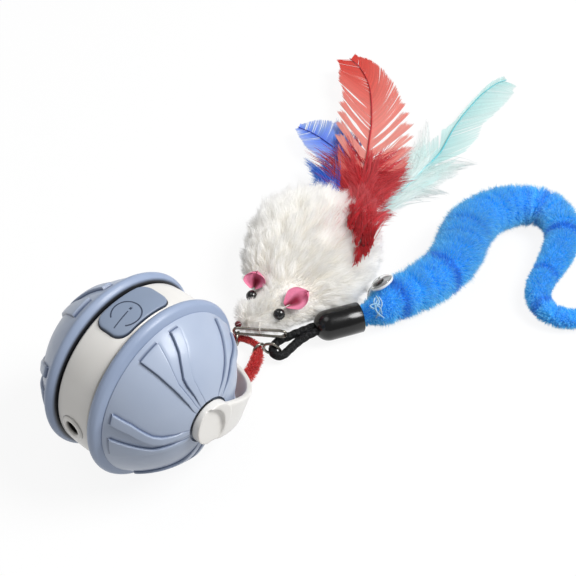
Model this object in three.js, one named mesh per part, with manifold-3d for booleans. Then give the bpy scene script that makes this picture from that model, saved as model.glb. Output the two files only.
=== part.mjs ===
// An automatic rolling ball toy: two driven wheels round a fixed middle, a drag bail behind them,
// and a fluffy tail and a stuffed mouse clipped to the bail by a soft loop.
// Millimetres, +Z up. The axle lies along Y and the bail trails towards +X.
// Pieces are drawn about the ball's own point on the floor, and the finished toy is then
// moved so that its origin is the middle of its footprint.
import * as THREE from 'three';
import { mergeVertices } from 'three/addons/utils/BufferGeometryUtils.js';
import Module from 'manifold-3d';

const wasm = await Module();
wasm.setup();

// Clearances
const seatGap = 0.2;
const runningGap = 0.25;
const hookGap = 0.3;
const bailSpindleGap = 0.4;
const cutOverrun = 1;
const weldDistance = 1e-4;

// Wheels: a tyre on a domed cover, one on each side of the middle
const bandHalfWidth = 7.2;
const wheelGap = 0.45;
const tyreRadius = 32.5;
const tyreThickness = 4.1;
const tyreShoulderDrop = 2;
const tyreWidth = 5.15;
const tyreInnerFace = bandHalfWidth + wheelGap;
const tyreShoulderRadius = tyreRadius - tyreShoulderDrop;
const domeDrop = 0.2;
const domeRadius = tyreRadius - domeDrop;
const domeDepth = 31.5;
const domeWall = 1.8;
const skirtRadius = tyreRadius - tyreThickness;
const skirtWall = 1.6;
const hubDishRadius = 8.4;
const hubDishDepth = 2.6;
const hubDishFloor = domeDepth - hubDishDepth;
const hubSleeveRadius = 5.6;
const hubSleeveLength = 7.9;
const hubSleeveEnd = hubDishFloor - hubSleeveLength;
const wheelSides = 32;
const ribGroups = 5;
const ribGroupAngle = 97.5;
const ribHeight = 1;
const ribSink = 0.7;

// Gears: an output pinion inside a ring gear
const gearModule = 0.8;
const ringTeeth = 36;
const pinionTeeth = 10;
const gearWidth = 3.4;
const ringGearRim = 1.5;
const ringCollarWall = 1.4;
const ringShoulder = 0.8;
const pinionOverlap = 0.2;

// Middle: a drum in two halves that carries everything fixed
const drumSkirtGap = 0.6;
const drumRadius = skirtRadius - skirtWall - drumSkirtGap;
const drumCornerGap = 1.3;
const drumHalfWidth = domeInsideAt(drumRadius) - drumCornerGap;
const drumWall = 1.5;
const drumSplit = 0.15;
const drumInner = drumRadius - drumWall;
const drumEndInner = drumHalfWidth - drumWall;
const gearEndGap = 1.5;
const ringGearFace = drumHalfWidth + gearEndGap;
const spindleRadius = 3;
const spindleProud = 1.2;
const spindleEnd = hubDishFloor + spindleProud;
const spindleBore = 1.75;
const spindleBoreDepth = 9;
const spindleFootRadius = 6.5;
const spindleFootHeight = 2.4;
const bandRecess = 2.3;
const bandRadius = tyreRadius - bandRecess;
const bandWall = 1.8;
const bandFlange = 1.5;
const bandCrown = 0.25;
const bandEdgeRound = 0.6;

// Retaining rings that hold the wheels on the spindles
const retainerRadius = 6.4;
const retainerThickness = 0.8;

// Power button on top of the band
const bandLipWidth = 1;
const buttonWidth = 2 * (bandHalfWidth - bandLipWidth);
const buttonLength = 22.6;
const buttonCorner = 4;
const buttonHeight = 1;
const buttonThickness = 2.2;
const buttonTabLength = 1.4;
const buttonTabThickness = 0.8;
const buttonStemRadius = 2;
const buttonTravel = 0.6;

// Charging port at the front of the band
const portRingRadius = 5;
const portRingHeight = 0.6;
const portRingThickness = 0.8;
const portSleeveRadius = 4.2;
const jackRadius = 3.1;
const jackLength = 9;
const jackBore = 2.2;
const jackBoreDepth = 6.5;
const jackPinRadius = 0.6;
const jackShoulder = 1.2;

// Electronics and drive in the drum
const boardSideGap = 1.4;
const boardWidth = 2 * (drumEndInner - boardSideGap);
const boardThickness = 1.2;
const boardDrop = 8.1;
const boardHeight = drumInner - boardDrop;
const boardEdgeGap = 2.1;
const boardLength = 2 * (halfChord(drumInner, boardHeight + boardThickness) - boardEdgeGap);
const boardLedge = 1.5;
const switchSize = 6;
const switchHeight = 3.1;
const switchPlungerRadius = 1.7;
const switchPlungerHeight = 1.1;
const motorWidth = 12;
const motorHeight = 10;
const motorEndGap = 0.4;
const motorLength = 2 * (drumEndInner - motorEndGap);
const gearboxLength = 9;
const gearboxStep = 0.4;
const motorShaftRadius = 1.5;
const shelfThickness = 1.4;
const batteryJackGap = 3.7;
const batteryLength = 2 * (drumRadius - jackLength - batteryJackGap);
const batterySideGap = 1.9;
const batteryWidth = 2 * (drumEndInner - batterySideGap);
const batteryHeight = 5.6;
const batteryRound = 2;

// Screws through both halves of the drum, the upper two just under the board
const screwInset = 3.4;
const screwCircle = drumRadius - screwInset;
const screwRadius = 1;
const screwLength = 20;
const screwHeadRadius = 1.9;
const screwHeadHeight = 1.4;
const screwBossRadius = 2.6;
const screwLevel = boardHeight - seatGap - screwBossRadius;
const screwPlaces = [[1, 1], [-1, 1], [-1, -1], [1, -1]];

// Bail: a bent strip with a pivot disc at each end
const bailTilt = 34.5;
const bailBackGap = 10.5;
const bailDepth = tyreRadius + bailBackGap;
const bailSideGap = 1.1;
const bailHalfWidth = domeDepth + bailSideGap;
const bailThickness = 2.2;
const bailStripWidth = 9;
const bailArmWidth = 14;
const bailDiscGap = 0.7;
const bailDiscRadius = hubDishRadius - bailDiscGap;
const bailDiscInner = spindleEnd + bailSpindleGap;
const bailHollowRadius = 10.3;
const bailHollowDepth = 1.5;
const bailHollowLean = 7;
const bailHollowTurn = 50;
const bailHollowReach = 4.1;
const bailPinRadius = 1.5;
const bailPinLength = 7;
const bailSteps = 22;

// Red loop round the bail's strip, pinched thin where the clasps take it
const redCordRadius = 2;
const redPinchRadius = 1;
const redPinchShares = [0.07, 0.12];
const redLoopRoute = [
  [54.2, -0.4, 4.1], [54, -3.2, 4.1], [52.4, -5.2, 4.1], [49.8, -6.8, 4], [46, -8.4, 3.4], [41.6, -9.4, 2.6],
  [36.6, -9.4, 2.4], [31.4, -8, 2.5], [28.8, -5.2, 5.4], [30.2, -2.2, 8.8], [32.4, 0.4, 11.2], [35.2, 2.6, 14.4],
  [39.2, 4.2, 14.6], [41.6, 5.4, 10.4], [44.4, 6.4, 7], [47.8, 6.6, 5], [51, 5.6, 4.2], [53.4, 3.4, 4.1],
];

// Wire clasps on the red loop, the upper for the mouse and the lower for the tail: each is a ring
// round the loop and a hairpin that leaves it
const wireRadius = 0.5;
const claspRingRadius = 2.4;
const upperRingCentre = [52, 5, 4.15];
const upperRingHeading = 32;
const upperPinStart = [51.3, 6.2];
const upperPinEnd = [62.4, -9.8];
const upperPinLow = 6.7;
const upperPinHigh = 9.7;
const lowerRingCentre = [53, -4.7, 4.1];
const lowerRingHeading = -11;
const lowerPinStart = [55.2, -5.2];
const lowerPinEnd = [57.9, -11];
const lowerPinLow = 1;
const lowerPinHigh = 6.4;
const threadRadius = 0.3;
const threadRingRadius = 2.1;
const threadAlongShare = 0.5;
const threadOffset = 1;

// Black loop between the lower clasp and the tail's cap
const blackCordRadius = 1.7;
const blackLoopRoute = [
  [77, -15.6, 6.4], [74.4, -14.2, 6.4], [71.2, -12.2, 5.9], [66.2, -9.2, 4.8], [61.4, -6.8, 3.8], [58.4, -6.9, 3.6],
  [56, -8.5, 3.6], [54.8, -10.8, 3.5], [56.4, -13.4, 3.5], [60.2, -14, 3.6], [64.9, -14.3, 4.3],
  [70, -15.8, 5.6], [74, -17.8, 6.4], [76.4, -19, 6.4],
];

// Tail cap and fluffy tail
const capRadius = 5.9;
const capLength = 18.5;
const capWall = 1.1;
const capSocketDepth = 8;
const capCordDepth = 4.45;
const capHeading = -30;
const capFloorGap = 0.5;
const tailFluff = 0.6;
const tailNeckRadius = 4.2;
const tailNeckLift = 2.2;
const tailSides = 10;
const tailSteps = 41;
const tailEyeRadius = 4.6;
const tailEyeHeight = 2.6;
const tailEyeShare = 0.083;
const upperEyeAngle = 56;
const lowerEyeAngle = -14;

// The tail leaves the cap and lies on the floor. Each place holds shares: of the tail's reach back
// and across from there, and of the plush's greatest radius.
const tailNeckDepth = 5.4;
const tailReach = 100;
const tailRadius = 10.9;
const tailShares = [
  [0, 0, 0.385], [0.056, -0.031, 0.422], [0.096, -0.05, 0.569], [0.146, -0.072, 0.752], [0.216, -0.098, 0.844],
  [0.328, -0.13, 0.899], [0.439, -0.144, 0.936], [0.555, -0.125, 0.982], [0.669, -0.086, 1], [0.79, -0.076, 0.936],
  [0.9, -0.104, 0.881], [0.985, -0.158, 0.826], [1.028, -0.238, 0.789], [1.006, -0.318, 0.752], [0.926, -0.384, 0.697],
  [0.83, -0.418, 0.642], [0.736, -0.434, 0.569], [0.652, -0.45, 0.523], [0.592, -0.478, 0.495], [0.556, -0.522, 0.477],
  [0.546, -0.574, 0.45], [0.572, -0.632, 0.422], [0.632, -0.678, 0.394], [0.712, -0.702, 0.367], [0.796, -0.702, 0.33],
  [0.87, -0.674, 0.284],
];

// Stuffed mouse
const mouseHeading = 19;
const mouseFront = [66.6, -1.74];
const mouseBodyLength = 66;
const mouseBodyWidth = 56;
const mouseBodyHeight = 29;
const mouseBodyNarrowShare = 0.25;
const headHeading = -12;
const headSink = 9.54;
const mouseHeadLength = 42;
const mouseHeadWidth = 31;
const mouseHeadHeight = 24;
const mouseHeadNarrowShare = 0.62;
const mouseLowShare = 0.8;
const mouseNoseRadius = 1.3;
const mouseEyeRadius = 2.2;
const mouseEyeSpacingShare = 0.463;
const mouseEyeLevelShare = 0.55;
const mouseEyeAlongShare = -0.25;
const mouseEyeAside = -0.93;
const eyesHeading = -2.4;
const mouseEarRadius = 4.7;
const mouseEarThickness = 1.2;
const mouseEarSpacingShare = 0.594;
const mouseEarLevelShare = 0.7;
const mouseEarAlongShare = -0.08;
const mouseEarAside = 0.95;
const mouseEarLean = 40;
const mouseEarTurn = 24;
const earsHeading = 10;
const mouseFloorGap = 0.2;

// Feathers in the mouse's rump. A root holds shares of the body's length and width from its front;
// a quill's route holds shares of the feather's length, along its heading and across it.
const featherThickness = 0.9;
const quillRadius = 0.8;
const quillTipShare = 0.45;
const redFeather = {
  rootShares: [0.751, -0.249],
  length: 134.7,
  heading: 39,
  level: 8.8,
  vaneWidth: 19,
  quillShares: [
    [0, 0], [0.05, -0.009], [0.141, -0.021], [0.312, -0.034], [0.485, -0.055], [0.636, -0.069], [0.813, -0.067],
    [0.934, -0.039], [1, 0],
  ],
  vaneShares: [
    [0, 0.12, 0.2], [0.1, 0.15, 0.34], [0.2, 0.26, 0.56], [0.3, 0.5, 0.84], [0.42, 0.72, 1], [0.55, 0.56, 0.95],
    [0.68, 0.56, 0.8], [0.8, 0.6, 0.62], [0.9, 0.58, 0.5], [0.97, 0.42, 0.3], [1, 0.12, 0.08],
  ],
};
const blueFeather = {
  rootShares: [0.836, -0.068],
  length: 74.4,
  heading: 51.84,
  level: 6.6,
  vaneWidth: 13,
  quillShares: [
    [0, 0], [0.223, -0.117], [0.393, -0.181], [0.559, -0.201], [0.71, -0.185], [0.805, -0.143], [0.912, -0.081], [1, 0],
  ],
  vaneShares: [
    [0, 0.2, 0.2], [0.2, 0.35, 0.3], [0.4, 0.5, 0.4], [0.6, 0.7, 0.65], [0.76, 0.84, 0.95], [0.87, 0.72, 1.1],
    [0.94, 0.5, 0.85], [0.98, 0.25, 0.5], [1, 0.08, 0.12],
  ],
};
const aquaFeather = {
  rootShares: [0.819, -0.235],
  length: 141.4,
  heading: 7.2,
  level: 4.4,
  vaneWidth: 13,
  quillShares: [
    [0, 0], [0.233, 0.011], [0.304, 0.005], [0.386, 0.004], [0.461, -0], [0.522, 0], [0.582, 0.01], [0.648, 0.021],
    [0.724, 0.029], [0.799, 0.032], [0.87, 0.032], [0.955, 0.02], [1, -0],
  ],
  vaneShares: [
    [0, 0.1, 0.1], [0.15, 0.15, 0.2], [0.28, 0.5, 0.35], [0.4, 0.9, 0.75], [0.5, 0.85, 0.9], [0.6, 0.4, 0.85],
    [0.68, 0.2, 0.9], [0.78, 0.12, 0.85], [0.88, 0.12, 0.95], [0.95, 0.18, 0.9], [1, 0.22, 0.5],
  ],
};

const floorLift = tyreRadius;
const up = new THREE.Vector3(0, 0, 1);

// Where pieces meet

// Half the chord of a circle at a distance from its middle
function halfChord(radius, distance) {
  return Math.sqrt(radius ** 2 - distance ** 2);
}

// The depth of the dome's inside at a radius from the axle
function domeInsideAt(radius) {
  return (domeDepth - domeWall) * Math.sqrt(1 - (radius / (domeRadius - domeWall)) ** 2);
}

// A place at a distance along a heading and across it, from a start
function offset([x, y], heading, along, across) {
  const turn = THREE.MathUtils.degToRad(heading);
  return [
    x + along * Math.cos(turn) - across * Math.sin(turn),
    y + along * Math.sin(turn) + across * Math.cos(turn),
  ];
}

const cordEnds = [blackLoopRoute[0], blackLoopRoute[blackLoopRoute.length - 1]];
const cordMiddle = [(cordEnds[0][0] + cordEnds[1][0]) / 2, (cordEnds[0][1] + cordEnds[1][1]) / 2];
const capLevel = capRadius + capFloorGap;
const capStart = [...offset(cordMiddle, capHeading, -capCordDepth, 0), capLevel];
const capEnd = [...offset(cordMiddle, capHeading, capLength - capCordDepth, 0), capLevel];
const tailStart = offset(capEnd, capHeading, -tailNeckDepth, 0);
const mouseCentre = offset(mouseFront, mouseHeading, mouseBodyLength / 2, 0);
const headCentre = offset(mouseFront, mouseHeading, headSink, 0);
const eyesMiddle = offset(headCentre, headHeading, mouseEyeAlongShare * mouseHeadLength, mouseEyeAside);
const earsMiddle = offset(headCentre, headHeading, mouseEarAlongShare * mouseHeadLength, mouseEarAside);

// Geometry helpers

function signedVolume(geometry) {
  const place = geometry.attributes.position;
  const index = geometry.index;
  const a = new THREE.Vector3();
  const b = new THREE.Vector3();
  const c = new THREE.Vector3();
  let volume = 0;
  for (let i = 0; i < index.count; i += 3) {
    a.fromBufferAttribute(place, index.getX(i));
    b.fromBufferAttribute(place, index.getX(i + 1));
    c.fromBufferAttribute(place, index.getX(i + 2));
    volume += a.dot(b.cross(c));
  }
  return volume;
}

// Shared corners, faces pointing out, no empty triangles
function closed(geometry) {
  const bare = geometry.clone();
  bare.deleteAttribute('normal');
  bare.deleteAttribute('uv');
  const merged = mergeVertices(bare, weldDistance);
  const kept = [];
  const index = merged.index.array;
  for (let i = 0; i < index.length; i += 3) {
    const [p, q, r] = [index[i], index[i + 1], index[i + 2]];
    if (p !== q && q !== r && p !== r) {
      kept.push(p, q, r);
    }
  }
  merged.setIndex(kept);
  if (signedVolume(merged) < 0) {
    for (let i = 0; i < kept.length; i += 3) {
      [kept[i], kept[i + 1]] = [kept[i + 1], kept[i]];
    }
    merged.setIndex(kept);
  }
  return merged;
}

function solid(geometry) {
  const merged = closed(geometry);
  return new wasm.Manifold(new wasm.Mesh({
    numProp: 3,
    vertProperties: new Float32Array(merged.attributes.position.array),
    triVerts: new Uint32Array(merged.index.array),
  }));
}

function shaped(result) {
  const mesh = result.getMesh();
  const geometry = new THREE.BufferGeometry();
  const places = new Float32Array(mesh.numVert * 3);
  for (let i = 0; i < mesh.numVert; i += 1) {
    for (let k = 0; k < 3; k += 1) {
      places[3 * i + k] = mesh.vertProperties[i * mesh.numProp + k];
    }
  }
  geometry.setAttribute('position', new THREE.BufferAttribute(places, 3));
  geometry.setIndex(Array.from(mesh.triVerts));
  return closed(geometry);
}

function join(first, ...others) {
  return shaped(others.reduce((sum, next) => sum.add(solid(next)), solid(first)));
}

function cut(first, ...others) {
  return shaped(others.reduce((rest, next) => rest.subtract(solid(next)), solid(first)));
}

function common(first, second) {
  return shaped(solid(first).intersect(solid(second)));
}

// The far side's pieces are the near side's, mirrored across the toy's middle
function mirrored(geometry) {
  return closed(geometry.clone().scale(1, -1, 1));
}

// A profile of [radius, distance outboard] pairs, revolved about the axle; outboard is -Y
function revolved(profile, sides, height = 0) {
  const points = profile.map(([radius, out]) => new THREE.Vector2(radius, -out));
  const turned = new THREE.LatheGeometry(points, sides);
  turned.rotateY(Math.PI / sides);
  return closed(turned.translate(0, 0, height));
}

// A profile that closes on itself
function ringOf(profile, sides, height = 0) {
  return revolved([...profile, profile[0]], sides, height);
}

// A shape drawn in X and Z, thickened outboard from a distance off the toy's middle
function plate(shape, start, depth) {
  const flat = new THREE.ExtrudeGeometry(shape, { depth, bevelEnabled: false, curveSegments: 3 });
  flat.rotateX(Math.PI / 2);
  return closed(flat.translate(0, -start, 0));
}

function rod(radius, start, length, sides, x = 0, z = 0) {
  const bar = new THREE.CylinderGeometry(radius, radius, length, sides);
  return closed(bar.translate(x, -start - length / 2, z));
}

function post(radius, bottom, height, sides, x = 0, y = 0) {
  const bar = new THREE.CylinderGeometry(radius, radius, height, sides);
  bar.rotateX(Math.PI / 2);
  return closed(bar.translate(x, y, bottom + height / 2));
}

function box(sizeX, sizeY, sizeZ, x, y, z) {
  return closed(new THREE.BoxGeometry(sizeX, sizeY, sizeZ).translate(x, y, z));
}

function roundedShape(width, height, corner) {
  const shape = new THREE.Shape();
  const w = width / 2;
  const h = height / 2;
  shape.moveTo(-w + corner, -h);
  shape.lineTo(w - corner, -h);
  shape.absarc(w - corner, -h + corner, corner, -Math.PI / 2, 0, false);
  shape.lineTo(w, h - corner);
  shape.absarc(w - corner, h - corner, corner, 0, Math.PI / 2, false);
  shape.lineTo(-w + corner, h);
  shape.absarc(-w + corner, h - corner, corner, Math.PI / 2, Math.PI, false);
  shape.lineTo(-w, -h + corner);
  shape.absarc(-w + corner, -h + corner, corner, Math.PI, 1.5 * Math.PI, false);
  return shape;
}

// Rings of equal point counts joined by faces, with flat ends or back to the first ring
function lofted(rings, loop = false) {
  const sides = rings[0].length;
  const places = rings.flat().flatMap((p) => [p.x, p.y, p.z]);
  const faces = [];
  const spans = loop ? rings.length : rings.length - 1;
  for (let i = 0; i < spans; i += 1) {
    const next = (i + 1) % rings.length;
    for (let k = 0; k < sides; k += 1) {
      const l = (k + 1) % sides;
      faces.push(i * sides + k, next * sides + k, next * sides + l);
      faces.push(i * sides + k, next * sides + l, i * sides + l);
    }
  }
  if (!loop) {
    const last = (rings.length - 1) * sides;
    for (let k = 1; k < sides - 1; k += 1) {
      faces.push(0, k, k + 1);
      faces.push(last, last + k + 1, last + k);
    }
  }
  const geometry = new THREE.BufferGeometry();
  geometry.setAttribute('position', new THREE.Float32BufferAttribute(places, 3));
  geometry.setIndex(faces);
  return closed(geometry);
}

// A tube along a route: its section stays level, with a radius that may change on the way
function tube(route, radiusAt, sides, steps, loop = false) {
  const curve = new THREE.CatmullRomCurve3(route.map((p) => new THREE.Vector3(...p)), loop);
  const rings = [];
  const count = loop ? steps : steps + 1;
  for (let i = 0; i < count; i += 1) {
    const share = i / steps;
    const middle = curve.getPointAt(share);
    const forward = curve.getTangentAt(share);
    const across = new THREE.Vector3().crossVectors(up, forward).normalize();
    const over = new THREE.Vector3().crossVectors(forward, across).normalize();
    const radius = radiusAt(share);
    const ring = [];
    for (let k = 0; k < sides; k += 1) {
      const turn = (2 * Math.PI * (k + 0.5)) / sides;
      ring.push(middle.clone().addScaledVector(across, radius * Math.cos(turn))
        .addScaledVector(over, radius * Math.sin(turn)));
    }
    rings.push(ring);
  }
  return lofted(rings, loop);
}

// Wheels

function domeAt(radius, extra = 0) {
  const share = Math.min(1, radius / (domeRadius + extra));
  return (domeDepth + extra) * Math.sqrt(1 - share * share);
}

function tyre() {
  const seat = skirtRadius + seatGap;
  const outer = tyreInnerFace + tyreWidth - seatGap;
  const crown = tyreRadius - tyreShoulderRadius;
  const creaseRadius = domeRadius * Math.sqrt(1 - ((outer + seatGap) / domeDepth) ** 2);
  return ringOf([
    [seat, tyreInnerFace],
    [tyreShoulderRadius, tyreInnerFace],
    [tyreShoulderRadius + crown * 0.55, tyreInnerFace + tyreWidth * 0.12],
    [tyreRadius, tyreInnerFace + tyreWidth * 0.46],
    [tyreShoulderRadius + crown * 0.6, tyreInnerFace + tyreWidth * 0.8],
    [creaseRadius, outer],
    [seat, outer],
  ], wheelSides, floorLift);
}

// Angles from the middle of a rib group to its four edges, from the tyre's side to the hub's
const ribRadiusShares = [0.87, 0.765, 0.607, 0.54, 0.41, 0.31];
const ribHeightShares = [1, 1, 1, 1, 0.6, 0.2];
const ribEdges = [
  [-17.3, -13.7, -4.4, -2.4, -2.2, -3.4],
  [-9.7, -5.5, 5, 6.8, 7.4, 9],
  [1.4, 5.2, 11.8, 12.6, 14, 16.4],
  [17.1, 17, 18, 18.8, 21.4, 25.6],
];

function rib(leftEdge, rightEdge, group) {
  const rings = ribRadiusShares.map((share, i) => {
    const middle = ribGroupAngle + (group * 360) / ribGroups;
    const angles = [leftEdge[i], rightEdge[i]];
    const at = (angle, extra) => {
      const turn = THREE.MathUtils.degToRad(middle + angle);
      const radius = (domeRadius + extra) * share;
      const out = (domeDepth + extra) * Math.sqrt(1 - share * share);
      return new THREE.Vector3(radius * Math.cos(turn), -out, radius * Math.sin(turn) + floorLift);
    };
    return [
      ...angles.map((angle) => at(angle, -ribSink)),
      ...angles.reverse().map((angle) => at(angle, ribHeight * ribHeightShares[i])),
    ];
  });
  return lofted(rings);
}

function dome() {
  const crease = tyreInnerFace + tyreWidth;
  const creaseRadius = domeRadius * Math.sqrt(1 - (crease / domeDepth) ** 2);
  const outerShares = [0.91, 0.76, 0.56];
  const ringSeat = ringGearOuter() + seatGap;
  const collar = ringSeat + ringCollarWall;
  const bore = spindleRadius + runningGap;
  const floorBack = hubDishFloor - domeWall;
  const skirtInner = skirtRadius - skirtWall;
  const outer = outerShares.map((share) => [share * creaseRadius, domeAt(share * creaseRadius)]);
  const shell = ringOf([
    [skirtRadius, tyreInnerFace + runningGap],
    [skirtRadius, crease],
    [creaseRadius, crease],
    ...outer,
    [hubDishRadius, domeAt(hubDishRadius)],
    [hubDishRadius, hubDishFloor],
    [bore, hubDishFloor],
    [bore, hubSleeveEnd],
    [hubSleeveRadius, hubSleeveEnd],
    [hubSleeveRadius, floorBack],
    [hubDishRadius + domeWall, floorBack],
    [ringSeat - ringShoulder, domeInsideAt(ringSeat)],
    [ringSeat - ringShoulder, ringGearFace + gearWidth + 2 * runningGap],
    [ringSeat, ringGearFace + gearWidth + 2 * runningGap],
    [ringSeat, ringGearFace],
    [collar, ringGearFace],
    [collar, domeInsideAt(collar)],
    [skirtInner, domeInsideAt(skirtInner)],
    [skirtInner, tyreInnerFace + runningGap],
  ], wheelSides, floorLift);
  const ribs = [];
  for (let group = 0; group < ribGroups; group += 1) {
    ribs.push(rib(ribEdges[0], ribEdges[1], group));
    ribs.push(rib(ribEdges[2], ribEdges[3], group));
  }
  return join(shell, ...ribs);
}

function retainer() {
  return ringOf([
    [spindleRadius + seatGap, hubDishFloor + runningGap],
    [retainerRadius, hubDishFloor + runningGap],
    [retainerRadius, hubDishFloor + runningGap + retainerThickness],
    [spindleRadius + seatGap, hubDishFloor + runningGap + retainerThickness],
  ], 16, floorLift);
}

// Gears

const ringPitchRadius = (gearModule * ringTeeth) / 2;
const pinionPitchRadius = (gearModule * pinionTeeth) / 2;
const gearOffset = ringPitchRadius - pinionPitchRadius;
const toothTopShare = 0.75;
const toothRootShare = 1.1;
const pinionX = motorWidth / 2 + seatGap;
const pinionZ = -Math.sqrt(gearOffset ** 2 - pinionX ** 2);

function ringGearOuter() {
  return (gearModule * ringTeeth) / 2 + gearModule * toothRootShare + ringGearRim;
}

// Teeth as [radius, angle] pairs: two at the root and two at the tip of each
function toothPoints(teeth, rootRadius, tipRadius, rootShare, tipShare, phase) {
  const pitch = (2 * Math.PI) / teeth;
  const points = [];
  for (let i = 0; i < teeth; i += 1) {
    const middle = phase + i * pitch;
    points.push([rootRadius, middle - (pitch * rootShare) / 2]);
    points.push([tipRadius, middle - (pitch * tipShare) / 2]);
    points.push([tipRadius, middle + (pitch * tipShare) / 2]);
    points.push([rootRadius, middle + (pitch * rootShare) / 2]);
  }
  return points.map(([radius, angle]) => new THREE.Vector2(radius * Math.cos(angle), radius * Math.sin(angle)));
}

const pinionHeading = Math.atan2(pinionZ, -pinionX);

function ringGear() {
  const root = ringPitchRadius + gearModule * toothRootShare;
  const tip = ringPitchRadius - gearModule * toothTopShare;
  const shape = new THREE.Shape();
  shape.absarc(0, 0, ringGearOuter(), 0, 2 * Math.PI, false);
  const phase = pinionHeading + Math.PI / ringTeeth;
  shape.holes.push(new THREE.Path(toothPoints(ringTeeth, root, tip, 0.62, 0.28, phase)));
  const flat = new THREE.ExtrudeGeometry(shape, { depth: gearWidth, bevelEnabled: false, curveSegments: 14 });
  flat.rotateX(Math.PI / 2);
  return closed(flat.translate(0, -ringGearFace - runningGap, floorLift));
}

function pinion() {
  const root = pinionPitchRadius - gearModule * toothRootShare;
  const tip = pinionPitchRadius + gearModule * toothTopShare;
  const shape = new THREE.Shape(toothPoints(pinionTeeth, root, tip, 0.56, 0.24, pinionHeading));
  const teeth = plate(shape, ringGearFace + runningGap + pinionOverlap, gearWidth - 2 * pinionOverlap);
  const shaftStart = motorLength / 2 - gearboxLength / 2;
  const shaftLength = ringGearFace + runningGap + gearWidth - shaftStart;
  const shaft = rod(motorShaftRadius, shaftStart, shaftLength, 10);
  return join(teeth, shaft).translate(-pinionX, 0, floorLift + pinionZ);
}

// Drum and band

function screwCentre([back, over]) {
  return [back * halfChord(screwCircle, screwLevel), floorLift + over * screwLevel];
}

// The port's way is -1 towards the toy's front and 1 towards its back
function drumHalf(portWay) {
  const inner = drumInner;
  const endInner = drumEndInner;
  const sides = 28;
  const shell = revolved([
    [0, drumHalfWidth + spindleFootHeight],
    [0, endInner],
    [inner, endInner],
    [inner, drumSplit],
    [drumRadius, drumSplit],
    [drumRadius, drumHalfWidth],
    [spindleFootRadius, drumHalfWidth],
    [spindleRadius, drumHalfWidth + spindleFootHeight],
    [0, drumHalfWidth + spindleFootHeight],
  ], sides, floorLift);
  const spindle = rod(spindleRadius, drumHalfWidth, spindleEnd - drumHalfWidth, 20, 0, floorLift);
  const shelfZ = floorLift + pinionZ - motorHeight / 2 - seatGap - shelfThickness / 2;
  const shelfLength = 2 * (motorWidth + 2 * seatGap);
  const shelfWidth = endInner - drumSplit + drumWall / 2;
  const shelf = box(shelfLength, shelfWidth, shelfThickness, 0, -drumSplit - shelfWidth / 2, shelfZ);
  const ledgeReach = drumWall + endInner - boardWidth / 2 + boardLedge;
  const ledge = box(boardLength, ledgeReach, boardLedge, 0,
    -(drumHalfWidth - drumWall / 2) + ledgeReach / 2, floorLift + boardHeight - seatGap - boardLedge / 2);
  const bosses = screwPlaces.map((place) => {
    const [x, z] = screwCentre(place);
    return rod(screwBossRadius, drumSplit, drumHalfWidth - drumWall / 2 - drumSplit, 8, x, z);
  });
  const whole = join(shell, spindle, shelf, ledge, ...bosses);
  const holes = screwPlaces.map((place) => {
    const [x, z] = screwCentre(place);
    const depth = screwLength - drumHalfWidth + screwHeadHeight + seatGap;
    return rod(screwRadius + seatGap, -cutOverrun, (portWay < 0 ? drumHalfWidth : depth) + 2 * cutOverrun, 8, x, z);
  });
  const bore = rod(spindleBore, spindleEnd - spindleBoreDepth, spindleBoreDepth + cutOverrun, 16, 0, floorLift);
  const shaftHole = rod(motorShaftRadius + runningGap * 2, endInner - cutOverrun, drumWall + spindleFootHeight + cutOverrun * 2,
    12, -pinionX, floorLift + pinionZ);
  const port = new THREE.CylinderGeometry(jackRadius + seatGap, jackRadius + seatGap, drumRadius, 16);
  port.rotateZ(Math.PI / 2).translate(portWay * drumRadius, 0, floorLift);
  const stemHole = post(buttonStemRadius + runningGap, floorLift + inner - cutOverrun,
    drumWall + 2 * cutOverrun, 12);
  return cut(whole, ...holes, bore, shaftHole, port, stemHole);
}

// The near half takes the screws' heads in counterbores
function nearDrum() {
  const sinks = screwPlaces.map((place) => {
    const [x, z] = screwCentre(place);
    return rod(screwHeadRadius + seatGap, drumHalfWidth - screwHeadHeight - seatGap,
      screwHeadHeight + seatGap + cutOverrun, 10, x, z);
  });
  return cut(drumHalf(-1), ...sinks);
}

function screw(place) {
  const [x, z] = screwCentre(place);
  const headBottom = drumHalfWidth - screwHeadHeight;
  const shank = rod(screwRadius, headBottom - screwLength, screwLength + screwHeadHeight / 2, 8, x, z);
  return join(shank, rod(screwHeadRadius, headBottom, screwHeadHeight, 10, x, z));
}

function buttonOutline(margin) {
  return roundedShape(buttonLength + 2 * margin, buttonWidth + 2 * margin, buttonCorner + margin);
}

function buttonPrism(margin, bottom, height) {
  const flat = new THREE.ExtrudeGeometry(buttonOutline(margin), { depth: height, bevelEnabled: false, curveSegments: 3 });
  return closed(flat.translate(0, 0, bottom));
}

function band() {
  const inner = bandRadius - bandWall;
  const flangeInner = drumRadius + seatGap;
  const ring = ringOf([
    [flangeInner, -bandHalfWidth],
    [flangeInner, -bandHalfWidth + bandFlange],
    [inner, -bandHalfWidth + bandFlange],
    [inner, bandHalfWidth - bandFlange],
    [flangeInner, bandHalfWidth - bandFlange],
    [flangeInner, bandHalfWidth],
    [bandRadius - bandEdgeRound, bandHalfWidth],
    [bandRadius, bandHalfWidth - bandEdgeRound],
    [bandRadius + bandCrown, 0],
    [bandRadius, -bandHalfWidth + bandEdgeRound],
    [bandRadius - bandEdgeRound, -bandHalfWidth],
  ], 36, floorLift);
  const window = buttonPrism(runningGap, floorLift + drumRadius / 2, drumRadius);
  const port = new THREE.CylinderGeometry(portSleeveRadius + seatGap, portSleeveRadius + seatGap, drumRadius, 20);
  port.rotateZ(Math.PI / 2).translate(-drumRadius - drumRadius / 4, 0, floorLift);
  return cut(ring, window, port);
}

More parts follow.
